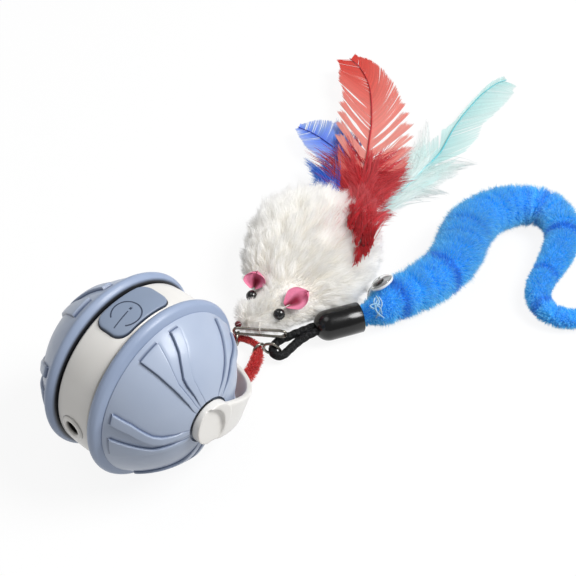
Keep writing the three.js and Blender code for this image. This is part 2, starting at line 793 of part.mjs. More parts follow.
function button() {
  const top = bandRadius + bandCrown + buttonHeight;
  const bottom = bandRadius - buttonThickness + buttonHeight;
  const pad = common(buttonPrism(0, floorLift, tyreRadius), ringOf([
    [bottom, -buttonWidth], [bottom, buttonWidth],
    [top - bandEdgeRound, buttonWidth], [top, 0], [top - bandEdgeRound, -buttonWidth],
  ], 40, floorLift));
  const tabTop = bandRadius - bandWall - seatGap;
  const tabWidth = 2 * (bandHalfWidth - bandFlange - runningGap);
  const tabShape = new THREE.ExtrudeGeometry(
    roundedShape(buttonLength + 2 * buttonTabLength, tabWidth, buttonCorner / 2),
    { depth: tyreRadius, bevelEnabled: false, curveSegments: 3 },
  ).translate(0, 0, floorLift);
  const tab = common(closed(tabShape), ringOf([
    [tabTop - buttonTabThickness, -buttonWidth], [tabTop - buttonTabThickness, buttonWidth],
    [tabTop, buttonWidth], [tabTop, -buttonWidth],
  ], 28, floorLift));
  const core = common(buttonPrism(-buttonCorner / 2, floorLift, tyreRadius), ringOf([
    [tabTop - buttonTabThickness, -buttonWidth], [tabTop - buttonTabThickness, buttonWidth],
    [top - bandEdgeRound, buttonWidth], [top - bandEdgeRound, -buttonWidth],
  ], 28, floorLift));
  const stemBottom = floorLift + boardHeight + boardThickness + switchHeight + switchPlungerHeight
    + buttonTravel + seatGap / 2;
  const stem = post(buttonStemRadius, stemBottom, floorLift + bottom + buttonHeight / 2 - stemBottom, 12);
  return join(pad, tab, core, stem);
}

function facing(geometry, outer) {
  geometry.rotateZ(Math.PI / 2);
  return closed(geometry.translate(-outer, 0, floorLift));
}

function portRing() {
  const face = bandRadius + bandCrown + portRingHeight;
  const back = bandRadius + bandCrown + portRingHeight - portRingThickness;
  const sleeveEnd = drumRadius + runningGap;
  const hole = jackRadius - jackShoulder / 2;
  const profile = [
    [hole, 0], [portRingRadius - portRingHeight, 0], [portRingRadius, -portRingHeight],
    [portRingRadius, back - face], [portSleeveRadius, back - face],
    [portSleeveRadius, sleeveEnd - face], [hole, sleeveEnd - face], [hole, 0],
  ];
  const turned = new THREE.LatheGeometry(profile.map((p) => new THREE.Vector2(...p)), 18);
  const ring = facing(turned, face);
  const bandBody = revolved([[0, bandHalfWidth], [bandRadius + seatGap, bandHalfWidth],
    [bandRadius + bandCrown + seatGap, 0], [bandRadius + seatGap, -bandHalfWidth], [0, -bandHalfWidth]],
  48, floorLift);
  const sleeve = new THREE.CylinderGeometry(portSleeveRadius, portSleeveRadius, bandRadius, 18);
  sleeve.rotateZ(Math.PI / 2).translate(-bandRadius, 0, floorLift);
  return cut(ring, cut(bandBody, sleeve));
}

function jack() {
  const face = drumRadius;
  const profile = [
    [0, -jackBoreDepth], [jackBore, -jackBoreDepth], [jackBore, 0], [jackRadius, 0],
    [jackRadius, -jackLength], [0, -jackLength],
  ];
  const turned = new THREE.LatheGeometry(profile.map((p) => new THREE.Vector2(...p)), 16);
  const pin = new THREE.CylinderGeometry(jackPinRadius, jackPinRadius, jackBoreDepth, 8);
  pin.translate(0, -jackBoreDepth / 2 - jackShoulder, 0);
  return join(facing(turned, face), facing(pin, face));
}

// Electronics and drive

function board() {
  const z = floorLift + boardHeight + boardThickness / 2;
  return box(boardLength, boardWidth, boardThickness, 0, 0, z);
}

function tactSwitch() {
  const bottom = floorLift + boardHeight + boardThickness;
  return join(
    box(switchSize, switchSize, switchHeight, 0, 0, bottom + switchHeight / 2),
    post(switchPlungerRadius, bottom, switchHeight + switchPlungerHeight, 12),
  );
}

function battery() {
  const shape = roundedShape(batteryLength, batteryHeight, batteryRound);
  const bottom = pinionZ + motorHeight / 2 + seatGap;
  return plate(shape, -batteryWidth / 2, batteryWidth).translate(0, 0, floorLift + bottom + batteryHeight / 2);
}

function gearMotor() {
  const round = motorHeight / 4;
  const start = -motorLength / 2 + seatGap;
  const can = plate(roundedShape(motorWidth, motorHeight, round), start, motorLength - gearboxLength);
  const gearbox = plate(roundedShape(motorWidth - gearboxStep, motorHeight - gearboxStep, gearboxStep),
    start + motorLength - gearboxLength - gearboxStep, gearboxLength + gearboxStep);
  const shaftHole = rod(motorShaftRadius + runningGap, motorLength / 2 - gearboxLength / 2 - runningGap, gearboxLength, 10);
  return cut(join(can, gearbox), shaftHole).translate(-pinionX, 0, floorLift + pinionZ);
}

// Bail

const tilt = THREE.MathUtils.degToRad(bailTilt);

// A point in the bail's own plane: back along the arm, along the axle, and across the strip
function bailPoint(back, side, across) {
  return new THREE.Vector3(
    back * Math.cos(tilt) + across * Math.sin(tilt),
    side,
    floorLift - back * Math.sin(tilt) + across * Math.cos(tilt),
  );
}

// The disc's face slopes into a hollow that ends in a curved step below the strip
function bailHollow(outerFace) {
  const turn = THREE.MathUtils.degToRad(bailHollowTurn - bailTilt);
  const toStep = new THREE.Vector3(Math.cos(turn), 0, Math.sin(turn));
  const hinge = new THREE.Vector3().crossVectors(toStep, new THREE.Vector3(0, 1, 0));
  const hollow = rod(bailHollowRadius, 0, bailHollowDepth + cutOverrun, 32);
  hollow.translate(-toStep.x * bailHollowRadius, 0, -toStep.z * bailHollowRadius);
  hollow.applyMatrix4(new THREE.Matrix4().makeRotationAxis(hinge, THREE.MathUtils.degToRad(bailHollowLean)));
  hollow.translate(toStep.x * bailHollowReach, bailHollowDepth - outerFace, floorLift + toStep.z * bailHollowReach);
  return closed(hollow);
}

function bail() {
  const rings = [];
  for (let i = 0; i <= bailSteps; i += 1) {
    const turn = (Math.PI * i) / bailSteps - Math.PI / 2;
    const back = bailDepth * Math.cos(turn);
    const side = bailHalfWidth * Math.sin(turn);
    const normal = new THREE.Vector2(bailHalfWidth * Math.cos(turn), bailDepth * Math.sin(turn)).normalize();
    const near = Math.abs(Math.sin(turn)) ** 5;
    const half = (bailStripWidth + (bailArmWidth - bailStripWidth) * near) / 2;
    const thick = bailThickness / 2;
    const round = thick * 0.6;
    const section = [
      [-thick, -half + round], [-thick + round, -half], [thick - round, -half], [thick, -half + round],
      [thick, half - round], [thick - round, half], [-thick + round, half], [-thick, half - round],
    ];
    rings.push(section.map(([out, across]) => bailPoint(
      Math.max(0, back + normal.x * out),
      side + normal.y * out,
      across,
    )));
  }
  const strip = lofted(rings);
  const outerFace = bailHalfWidth + bailThickness / 2;
  const ends = [-1, 1].flatMap((sideSign) => {
    const disc = rod(bailDiscRadius, bailDiscInner, outerFace - bailDiscInner, 24, 0, floorLift);
    const pin = rod(bailPinRadius, bailDiscInner - bailPinLength, bailPinLength + bailThickness / 2, 12, 0, floorLift);
    return [disc, pin].map((piece) => (sideSign < 0 ? piece : mirrored(piece)));
  });
  const hollow = bailHollow(outerFace);
  return cut(join(strip, ...ends), hollow, mirrored(hollow));
}

// Loops, clasps and cap

function redRadius(share) {
  const away = Math.min(share, 1 - share);
  const [held, free] = redPinchShares;
  const rise = THREE.MathUtils.smoothstep(away, held, free);
  return redPinchRadius + (redCordRadius - redPinchRadius) * rise;
}

function redLoop() {
  return tube(redLoopRoute, redRadius, 6, 46, true);
}

// A route made longer at both its ends
function stretched(route, extra) {
  const points = route.map((p) => new THREE.Vector3(...p));
  const last = points.length - 1;
  const head = points[0].clone().sub(points[1]).setLength(extra).add(points[0]);
  const foot = points[last].clone().sub(points[last - 1]).setLength(extra).add(points[last]);
  return [head, ...points.slice(1, last), foot].map((p) => p.toArray());
}

function blackLoop() {
  return tube(blackLoopRoute, () => blackCordRadius, 6, 28);
}

// A wire hairpin that stands on its edge, from one place to another and from low to high
function hairpin(start, end, low, high) {
  const from = new THREE.Vector2(...start);
  const way = new THREE.Vector2(...end).sub(from);
  const length = way.length();
  way.normalize();
  const at = (along, height) => [from.x + along * way.x, from.y + along * way.y, height];
  const middle = (low + high) / 2;
  const round = (high - low) * 0.45;
  return wireLoop([
    at(0, middle), at(round * 0.35, high - round * 0.35), at(round * 1.2, high), at(length / 2, high),
    at(length - round, high), at(length, middle), at(length - round, low), at(length / 2, low),
    at(round * 1.2, low), at(round * 0.35, low + round * 0.35),
  ]);
}

// Wire bent in one upright plane, so its section is carried by the plane's own normal
function wireLoop(route) {
  const curve = new THREE.CatmullRomCurve3(route.map((p) => new THREE.Vector3(...p)), true);
  const level = new THREE.Vector3(route[5][0] - route[0][0], route[5][1] - route[0][1], 0);
  const across = new THREE.Vector3().crossVectors(up, level).normalize();
  const rings = [];
  const steps = 22;
  for (let i = 0; i < steps; i += 1) {
    const middle = curve.getPointAt(i / steps);
    const forward = curve.getTangentAt(i / steps);
    const over = new THREE.Vector3().crossVectors(forward, across).normalize();
    const ring = [];
    for (let k = 0; k < 5; k += 1) {
      const angle = (2 * Math.PI * k) / 5;
      ring.push(middle.clone().addScaledVector(across, wireRadius * Math.cos(angle))
        .addScaledVector(over, wireRadius * Math.sin(angle)));
    }
    rings.push(ring);
  }
  return lofted(rings, true);
}

// A round ring that stands upright, its flat side along a heading
function uprightRing(radius, thickness, centre, heading) {
  const ring = new THREE.TorusGeometry(radius, thickness, 5, 12);
  ring.rotateX(Math.PI / 2);
  ring.rotateZ(THREE.MathUtils.degToRad(heading));
  return closed(ring.translate(...centre));
}

function upperClasp() {
  return join(
    uprightRing(claspRingRadius, wireRadius, upperRingCentre, upperRingHeading),
    hairpin(upperPinStart, upperPinEnd, upperPinLow, upperPinHigh),
  );
}

function lowerClasp() {
  return join(
    uprightRing(claspRingRadius, wireRadius, lowerRingCentre, lowerRingHeading),
    hairpin(lowerPinStart, lowerPinEnd, lowerPinLow, lowerPinHigh),
  );
}

// A thread loop sewn into the mouse's cheek, round the upper clasp's high wire
function mouseThread() {
  const from = new THREE.Vector2(...upperPinStart);
  const way = new THREE.Vector2(...upperPinEnd).sub(from);
  const place = from.addScaledVector(way, threadAlongShare);
  way.normalize();
  const centre = [place.x - way.y * threadOffset, place.y + way.x * threadOffset, upperPinHigh];
  const heading = THREE.MathUtils.radToDeg(Math.atan2(way.x, -way.y));
  return cut(uprightRing(threadRingRadius, threadRadius, centre, heading), headForm(hookGap));
}

// Turns a piece drawn along +Z so that it runs from one point to another
function between(geometry, from, to) {
  const start = new THREE.Vector3(...from);
  const way = new THREE.Vector3(...to).sub(start).normalize();
  geometry.applyQuaternion(new THREE.Quaternion().setFromUnitVectors(up, way));
  return closed(geometry.translate(start.x, start.y, start.z));
}

// The cap takes the tail's neck in its open end and the black loop's two ends in its round end
function cap() {
  const profile = [
    [0, 0], [capRadius * 0.5, capRadius * 0.12], [capRadius * 0.82, capRadius * 0.45], [capRadius * 0.97, capRadius],
    [capRadius, capLength], [capRadius - capWall, capLength],
    [capRadius - capWall, capLength - capSocketDepth], [0, capLength - capSocketDepth],
  ];
  const turned = new THREE.LatheGeometry(profile.map((p) => new THREE.Vector2(...p)), 18);
  turned.rotateX(Math.PI / 2);
  const cordWay = tube(stretched(blackLoopRoute, seatGap), () => blackCordRadius + seatGap, 6, 32);
  return cut(between(turned, capStart, capEnd), cordWay);
}

// Fluffy tail

const tailCurve = new THREE.CatmullRomCurve3(tailShares.map(([back, across, radius]) => new THREE.Vector3(
  tailStart[0] + back * tailReach,
  tailStart[1] + across * tailReach,
  radius * tailRadius,
)));

// The plush's middle and radius at a share of its length: the curve's height is the radius
function tailAt(share) {
  const place = tailCurve.getPointAt(share);
  const forward = tailCurve.getTangentAt(share).setZ(0).normalize();
  const radius = place.z - tailFluff;
  const lift = tailNeckLift * THREE.MathUtils.smoothstep(tailNeckRadius * 1.9 - place.z, 0, tailNeckRadius);
  const inNeck = share < 0.5 ? lift : 0;
  return { middle: place.clone().setZ(place.z + inNeck), forward, radius };
}

function tailForm(margin) {
  const rings = [];
  for (let i = 0; i <= tailSteps; i += 1) {
    const { middle, forward, radius } = tailAt(i / tailSteps);
    const reach = radius + margin;
    const across = new THREE.Vector3().crossVectors(up, forward);
    const ring = [];
    for (let k = 0; k < tailSides; k += 1) {
      const turn = (2 * Math.PI * (k + 0.5)) / tailSides;
      ring.push(middle.clone().addScaledVector(across, reach * Math.cos(turn))
        .addScaledVector(up, reach * Math.sin(turn)));
    }
    rings.push(ring);
  }
  return lofted(rings);
}

function tailEye(angle) {
  const { middle, forward, radius } = tailAt(tailEyeShare);
  const across = new THREE.Vector3().crossVectors(up, forward).normalize();
  const turn = THREE.MathUtils.degToRad(angle);
  const way = across.multiplyScalar(Math.cos(turn)).addScaledVector(up, Math.sin(turn));
  const profile = [
    [0, 0], [tailEyeRadius, 0], [tailEyeRadius, tailEyeHeight * 0.3], [tailEyeRadius * 0.8, tailEyeHeight * 0.72],
    [tailEyeRadius * 0.4, tailEyeHeight * 0.96], [0, tailEyeHeight],
  ];
  const turned = new THREE.LatheGeometry(profile.map((p) => new THREE.Vector2(...p)), 16);
  turned.rotateX(Math.PI / 2);
  const seat = middle.clone().addScaledVector(way, radius);
  return cut(between(turned, seat.toArray(), seat.clone().add(way).toArray()), tailForm(hookGap));
}

// Stuffed mouse: each form is drawn along its own axis, then turned and set on the floor

function placed(geometry, heading, centre) {
  const turn = THREE.MathUtils.degToRad(heading);
  return closed(geometry.rotateZ(turn).translate(centre[0], centre[1], mouseFloorGap));
}

// A stuffed form: flattened below and narrowed towards its front by a share
function stuffed(length, width, height, narrowShare, margin) {
  const ball = new THREE.SphereGeometry(1, 20, 12);
  ball.rotateX(Math.PI / 2);
  const place = ball.attributes.position;
  for (let i = 0; i < place.count; i += 1) {
    const x = place.getX(i);
    const slim = 1 - narrowShare * ((1 - x) / 2) ** 1.5;
    const z = place.getZ(i);
    const low = z < 0 ? mouseLowShare : 1;
    place.setXYZ(
      i,
      x * (length / 2 + margin),
      place.getY(i) * slim * (width / 2 + margin),
      z * low * slim * (height / 2 + margin),
    );
  }
  return ball.translate(0, 0, (height * mouseLowShare) / 2);
}

function bodyForm(margin) {
  const form = stuffed(mouseBodyLength, mouseBodyWidth, mouseBodyHeight, mouseBodyNarrowShare, margin);
  return placed(form, mouseHeading, mouseCentre);
}

function headForm(margin) {
  const form = stuffed(mouseHeadLength, mouseHeadWidth, mouseHeadHeight, mouseHeadNarrowShare, margin);
  return placed(form, headHeading, headCentre);
}

function mouseBody() {
  return bodyForm(0);
}

function mouseHead() {
  return cut(headForm(0), bodyForm(hookGap));
}

// Ears and eyes stand to either side of their own middle by half their spacing
function mouseEar(side) {
  const cup = new THREE.SphereGeometry(mouseEarRadius, 10, 7);
  cup.scale(1, 1, mouseEarThickness / mouseEarRadius);
  const place = cup.attributes.position;
  for (let i = 0; i < place.count; i += 1) {
    const x = place.getX(i) / mouseEarRadius;
    place.setZ(i, place.getZ(i) + mouseEarThickness * x * x);
  }
  cup.rotateZ(Math.PI / 2);
  cup.rotateY(-Math.PI / 2 + THREE.MathUtils.degToRad(mouseEarLean));
  cup.rotateZ(side * THREE.MathUtils.degToRad(mouseEarTurn));
  cup.translate(0, (side * mouseEarSpacingShare * mouseHeadWidth) / 2, mouseEarLevelShare * mouseHeadHeight);
  return cut(placed(cup, earsHeading, earsMiddle), headForm(hookGap), bodyForm(hookGap));
}

function mouseEye(side) {
  const bead = new THREE.SphereGeometry(mouseEyeRadius, 10, 7);
  bead.translate(0, (side * mouseEyeSpacingShare * mouseHeadWidth) / 2, mouseEyeLevelShare * mouseHeadHeight);
  return cut(placed(bead, eyesHeading, eyesMiddle), headForm(hookGap), bodyForm(hookGap));
}

function mouseNose() {
  const bead = new THREE.SphereGeometry(mouseNoseRadius, 8, 6);
  bead.translate(-mouseHeadLength / 2 - hookGap, 0, (mouseHeadHeight * mouseLowShare) / 2);
  return cut(placed(bead, headHeading, headCentre), headForm(hookGap));
}

// Feathers: a thin vane that follows its quill, with its own half widths to the left and right.
// Each row of vane shares holds the place along the quill, and the width's share to each side.

function feather({ rootShares, length, heading, level, vaneWidth, quillShares, vaneShares }) {
  const root = offset(mouseFront, mouseHeading, rootShares[0] * mouseBodyLength, rootShares[1] * mouseBodyWidth);
  const curve = new THREE.CatmullRomCurve3(quillShares.map(([along, across]) => new THREE.Vector3(
    ...offset(root, heading, along * length, across * length),
    level,
  )));
  const thick = new THREE.Vector3(0, 0, featherThickness / 2);
  const edge = thick.clone().multiplyScalar(0.5);
  const rings = vaneShares.map(([along, left, right]) => {
    const middle = curve.getPointAt(along);
    const across = new THREE.Vector3().crossVectors(up, curve.getTangentAt(along));
    const leftEdge = middle.clone().addScaledVector(across, left * vaneWidth);
    const rightEdge = middle.clone().addScaledVector(across, -right * vaneWidth);
    return [
      leftEdge.clone().add(edge), leftEdge.clone().sub(edge), middle.clone().sub(thick),
      rightEdge.clone().sub(edge), rightEdge.clone().add(edge), middle.clone().add(thick),
    ];
  });
  const quillPoints = curve.getSpacedPoints(8).map((p) => p.toArray());
  const quill = tube(quillPoints, (share) => quillRadius * (1 - (1 - quillTipShare) * share), 4, 8);
  return cut(join(lofted(rings), quill), bodyForm(hookGap));
}

// Materials

function finish(colour, roughness, metalness = 0) {
  return new THREE.MeshStandardMaterial({ color: colour, roughness, metalness });
}

const finishes = {
  shell: finish(0x9fb0c8, 0.3),
  tyre: finish(0xaebbd2, 0.45),
  white: finish(0xeeece6, 0.3),
  drum: finish(0xd8d6d0, 0.5),
  button: finish(0x92a2b7, 0.4),
  steel: finish(0xc9ccd0, 0.3, 1),
  gear: finish(0xf0eee4, 0.5),
  circuit: finish(0x1f6b43, 0.5),
  black: finish(0x17191b, 0.3),
  cell: finish(0x9aa3ad, 0.4),
  red: finish(0xd93436, 0.9),
  blackCord: finish(0x1c1d1e, 0.85),
  tail: finish(0x1f8fe8, 0.95),
  fur: finish(0xf1efe9, 0.95),
  ear: finish(0xf08aa6, 0.9),
  bead: finish(0x101214, 0.15),
  eyeWhite: finish(0xf6f7f7, 0.2),
  redFeather: finish(0xb8121f, 0.85),
  blueFeather: finish(0x2c55d8, 0.85),
  aquaFeather: finish(0xa9d3dc, 0.85),
};

// Assembly

const toy = new THREE.Group();

function add(name, geometry, material) {
  const mesh = new THREE.Mesh(geometry, material);
  mesh.name = name;
  toy.add(mesh);
  return mesh;
}

function addPair(name, geometry, material) {
  add(`near_${name}`, geometry, material);
  add(`far_${name}`, mirrored(geometry), material);
}

// A motor's mirror image would sit in its neighbour's place, so the far one is turned about instead
function turnedAbout(geometry) {
  return closed(geometry.clone().rotateZ(Math.PI));
}

addPair('dome', dome(), finishes.shell);
addPair('tyre', tyre(), finishes.tyre);
addPair('wheel_retainer', retainer(), finishes.steel);

const nearRing = ringGear();
add('near_ring_gear', nearRing, finishes.gear);
add('far_ring_gear', turnedAbout(nearRing), finishes.gear);
const nearPinion = pinion();
add('near_pinion', nearPinion, finishes.steel);
add('far_pinion', turnedAbout(nearPinion), finishes.steel);
const nearMotor = gearMotor();
add('near_gear_motor', nearMotor, finishes.steel);
add('far_gear_motor', turnedAbout(nearMotor), finishes.steel);

add('near_drum_half', nearDrum(), finishes.drum);
add('far_drum_half', turnedAbout(drumHalf(1)), finishes.drum);
add('centre_band', band(), finishes.white);
add('power_button', button(), finishes.button);
add('port_ring', portRing(), finishes.white);
add('charge_jack', jack(), finishes.black);
add('circuit_board', board(), finishes.circuit);
add('tact_switch', tactSwitch(), finishes.black);
add('battery', battery(), finishes.cell);
screwPlaces.forEach((place, i) => add(`drum_screw_${i + 1}`, screw(place), finishes.steel));

add('bail', bail(), finishes.white);
add('red_loop', redLoop(), finishes.red);
add('upper_clasp', upperClasp(), finishes.steel);
add('lower_clasp', lowerClasp(), finishes.steel);
add('black_loop', blackLoop(), finishes.blackCord);
add('tail_cap', cap(), finishes.black);
add('fluffy_tail', tailForm(0), finishes.tail);
add('upper_tail_eye', tailEye(upperEyeAngle), finishes.eyeWhite);
add('lower_tail_eye', tailEye(lowerEyeAngle), finishes.eyeWhite);

add('mouse_thread', mouseThread(), finishes.fur);
add('mouse_body', mouseBody(), finishes.fur);
add('mouse_head', mouseHead(), finishes.fur);
add('left_mouse_ear', mouseEar(1), finishes.ear);
add('right_mouse_ear', mouseEar(-1), finishes.ear);
add('left_mouse_eye', mouseEye(1), finishes.bead);
add('right_mouse_eye', mouseEye(-1), finishes.bead);
add('mouse_nose', mouseNose(), finishes.ear);
add('red_feather', feather(redFeather), finishes.redFeather);
add('blue_feather', feather(blueFeather), finishes.blueFeather);
add('aqua_feather', feather(aquaFeather), finishes.aquaFeather);

// The origin is the middle of the footprint, on the floor
const bounds = new THREE.Box3().setFromObject(toy);
const footprint = bounds.getCenter(new THREE.Vector3()).setZ(bounds.min.z);
toy.children.forEach((mesh) => mesh.geometry.translate(-footprint.x, -footprint.y, -footprint.z));

export default toy;
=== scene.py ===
"""Automatic rolling ball toy with a fluffy tail and a stuffed mouse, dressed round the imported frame.

Pieces are worked out in millimetres about the ball's point on the floor, as the CAD draws them:
X back along the bail, Y towards the far wheel, Z up. place() turns that into the frame's metres.
"""
import math

import bmesh
import bpy
import numpy as np
from mathutils import Matrix, Vector

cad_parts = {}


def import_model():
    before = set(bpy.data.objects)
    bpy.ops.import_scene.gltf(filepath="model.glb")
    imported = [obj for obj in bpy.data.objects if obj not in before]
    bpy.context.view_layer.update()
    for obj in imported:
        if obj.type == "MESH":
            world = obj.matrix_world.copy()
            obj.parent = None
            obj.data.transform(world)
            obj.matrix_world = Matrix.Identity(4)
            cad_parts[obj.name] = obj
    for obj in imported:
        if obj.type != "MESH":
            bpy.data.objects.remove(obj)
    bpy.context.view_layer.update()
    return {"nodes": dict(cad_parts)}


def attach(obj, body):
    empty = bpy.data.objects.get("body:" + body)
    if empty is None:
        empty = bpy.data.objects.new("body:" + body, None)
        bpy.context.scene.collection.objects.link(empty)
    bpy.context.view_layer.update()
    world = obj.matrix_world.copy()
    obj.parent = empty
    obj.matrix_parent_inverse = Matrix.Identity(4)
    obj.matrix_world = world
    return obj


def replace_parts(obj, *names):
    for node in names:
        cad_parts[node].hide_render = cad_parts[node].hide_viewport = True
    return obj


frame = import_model()

# The frame's origin, the middle of the toy's base, as it lies in the drawing
SHIFT = np.array([115.380207, -4.165962, 0.156494])
# The tyres' radius, and so the axle's height over the drawing's floor
AXLE_Z = 32.5
UP = np.array([0.0, 0.0, 1.0])
FULL_TURN = 2 * np.pi
rng = np.random.default_rng(7)


def place(points):
    """Drawn millimetres as the frame's metres."""
    return (np.asarray(points, float) - SHIFT) / 1000.0


def normed(vectors):
    """Each vector drawn to a length of one."""
    return vectors / np.linalg.norm(vectors, axis=-1, keepdims=True)


# Camera and view of the photograph

PHOTO_SIZE = 576
CAMERA_AT = np.array([-166.0, -205.2, 322.5])
LOOK = normed(np.array([0.548, 0.466, -0.695]))
RIGHT = normed(np.cross(LOOK, UP))
ABOVE = np.cross(RIGHT, LOOK)
# The focal length in the photograph's pixels
FOCAL = 1167.3
SENSOR_WIDTH = 36.0


def spot(u, v, z):
    """The point at height z that the photograph shows at pixel (u, v)."""
    ray = LOOK * FOCAL + RIGHT * (u - PHOTO_SIZE / 2) + ABOVE * (PHOTO_SIZE / 2 - v)
    return CAMERA_AT + ray * (z - CAMERA_AT[2]) / ray[2]


def photo_camera():
    """The camera stands where the photograph's stood, and looks along LOOK with the horizon level."""
    data = bpy.data.cameras.new("camera")
    data.lens = FOCAL * SENSOR_WIDTH / PHOTO_SIZE
    data.sensor_width = SENSOR_WIDTH
    data.sensor_fit = "HORIZONTAL"
    data.clip_start = 0.01
    data.clip_end = 20.0
    camera = bpy.data.objects.new("camera", data)
    bpy.context.scene.collection.objects.link(camera)
    axes = Matrix((RIGHT.tolist(), ABOVE.tolist(), (-LOOK).tolist())).transposed()
    camera.matrix_world = Matrix.Translation(Vector(place(CAMERA_AT).tolist())) @ axes.to_4x4()
    bpy.context.scene.camera = camera


photo_camera()


# Mesh helpers

def piece(name, verts, quads, material, body, tris=None, smooth=True, **attrs):
    """A mesh object at the origin from millimetre points, with float point attributes."""
    quads = np.asarray(quads, np.int32).reshape(-1, 4)
    tris = np.zeros((0, 3), np.int32) if tris is None else np.asarray(tris, np.int32).reshape(-1, 3)
    mesh = bpy.data.meshes.new(name)
    mesh.vertices.add(len(verts))
    mesh.vertices.foreach_set("co", place(verts).astype(np.float32).ravel())
    loops = np.concatenate([quads.ravel(), tris.ravel()])
    mesh.loops.add(len(loops))
    mesh.loops.foreach_set("vertex_index", loops)
    starts = np.concatenate([np.arange(len(quads)) * 4, len(quads) * 4 + np.arange(len(tris)) * 3])
    mesh.polygons.add(len(starts))
    mesh.polygons.foreach_set("loop_start", starts.astype(np.int32))
    mesh.update(calc_edges=True)
    mesh.validate()
    for key, value in attrs.items():
        layer = mesh.attributes.new(key, "FLOAT", "POINT")
        layer.data.foreach_set("value", np.asarray(value, np.float32))
    mesh.polygons.foreach_set("use_smooth", np.full(len(mesh.polygons), smooth))
    mesh.materials.append(material)
    obj = bpy.data.objects.new(name, mesh)
    bpy.context.scene.collection.objects.link(obj)
    if body:
        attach(obj, body)
    return obj


def grid_faces(rows, cols, wrap_rows=False, wrap_cols=False, flip=False):
    """Quads of a rows by cols grid of points."""
    i = np.arange(rows if wrap_rows else rows - 1)
    j = np.arange(cols if wrap_cols else cols - 1)
    i, j = np.meshgrid(i, j, indexing="ij")
    a = i * cols + j
    b = i * cols + (j + 1) % cols
    c = ((i + 1) % rows) * cols + (j + 1) % cols
    d = ((i + 1) % rows) * cols + j
    quads = np.stack([a, b, c, d], -1).reshape(-1, 4)
    return quads[:, ::-1] if flip else quads


def end_fans(rows, sides):
    """Triangles that close a tube of rows rings, whose two end points come after the last ring's."""
    k = np.arange(sides)
    after = (k + 1) % sides
    last = (rows - 1) * sides
    return np.vstack([np.stack([np.full(sides, rows * sides), after, k], -1),
                      np.stack([np.full(sides, rows * sides + 1), last + k, last + after], -1)])


def outward(obj):
    """Face normals made consistent, pointing out."""
    bm = bmesh.new()
    bm.from_mesh(obj.data)
    bmesh.ops.recalc_face_normals(bm, faces=bm.faces)
    bm.to_mesh(obj.data)
    bm.free()
    return obj


def shade(obj, angle):
    """Smooth shading with crisp edges past an angle."""
    mesh = obj.data
    mesh.polygons.foreach_set("use_smooth", np.ones(len(mesh.polygons), bool))
    mesh.set_sharp_from_angle(angle=math.radians(angle))


def bake(obj):
    """The piece's modifiers become its mesh."""
    depsgraph = bpy.context.evaluated_depsgraph_get()
    made = bpy.data.meshes.new_from_object(obj.evaluated_get(depsgraph), depsgraph=depsgraph)
    obj.modifiers.clear()
    old = obj.data
    obj.data = made
    bpy.data.meshes.remove(old)


def combine(obj, other, operation):
    """The other form is joined to the piece or taken out of it, and then goes."""
    mod = obj.modifiers.new("combine", "BOOLEAN")
    mod.operation = operation
    mod.solver = "EXACT"
    mod.object = other
    bake(obj)
    bpy.data.objects.remove(other, do_unlink=True)


def smoothstep(a, b, x):
    """0 up to a, 1 from b on, and between them a curve that starts and ends level."""
    t = np.clip((np.asarray(x, float) - a) / (b - a), 0, 1)
    return t * t * (3 - 2 * t)


CURVE_STEPS = 24


def smooth_curve(points, count, closed=False):
    """A curve through the points, spaced evenly along its length: between two of them it is the cubic whose
    slope at each is half the way from the point before to the point after (Catmull-Rom)."""
    p = np.asarray(points, float)
    if closed:
        spans = len(p)
        p = np.vstack([p[-1], p, p[0], p[1]])
    else:
        spans = len(p) - 1
        p = np.vstack([2 * p[0] - p[1], p, 2 * p[-1] - p[-2]])
    t = np.linspace(0, 1, CURVE_STEPS, endpoint=False)[:, None]
    out = []
    for i in range(spans):
        a, b, c, d = p[i], p[i + 1], p[i + 2], p[i + 3]
        out.append(0.5 * (2 * b + (c - a) * t + (2 * a - 5 * b + 4 * c - d) * t ** 2
                          + (3 * b - a - 3 * c + d) * t ** 3))
    line = np.vstack(out + [p[spans + 1][None]])
    s = np.concatenate([[0], np.cumsum(np.linalg.norm(np.diff(line[:, :3], axis=0), axis=1))])
    want = np.linspace(0, s[-1], count, endpoint=not closed)
    return np.stack([np.interp(want, s, line[:, k]) for k in range(p.shape[1])], -1), s[-1]


def frames(line, closed=False):
    """Forward, across and over vectors along a line; across stays level."""
    forward = normed(np.roll(line, -1, 0) - np.roll(line, 1, 0) if closed else np.gradient(line, axis=0))
    across = normed(np.cross(UP, forward))
    return forward, across, np.cross(forward, across)


def tube(name, line, radius, sides, material, body, closed=False):
    """A round section carried along a line: the line's point plus the radius times cosine across and sine
    over. The radius is one number, one for each ring, or rings by sides."""
    _, across, over = frames(line, closed)
    turn = np.linspace(0, FULL_TURN, sides, endpoint=False)[None, :, None]
    radius = np.asarray(radius, float).reshape(len(line) if np.ndim(radius) else 1, -1)
    radius = np.broadcast_to(radius, (len(line), sides))[..., None]
    rings = line[:, None] + radius * (np.cos(turn) * across[:, None] + np.sin(turn) * over[:, None])
    verts, tris = rings.reshape(-1, 3), None
    if not closed:
        verts, tris = np.vstack([verts, line[:1], line[-1:]]), end_fans(len(line), sides)
    quads = grid_faces(len(line), sides, wrap_rows=closed, wrap_cols=True)
    return outward(piece(name, verts, quads, material, body, tris=tris))


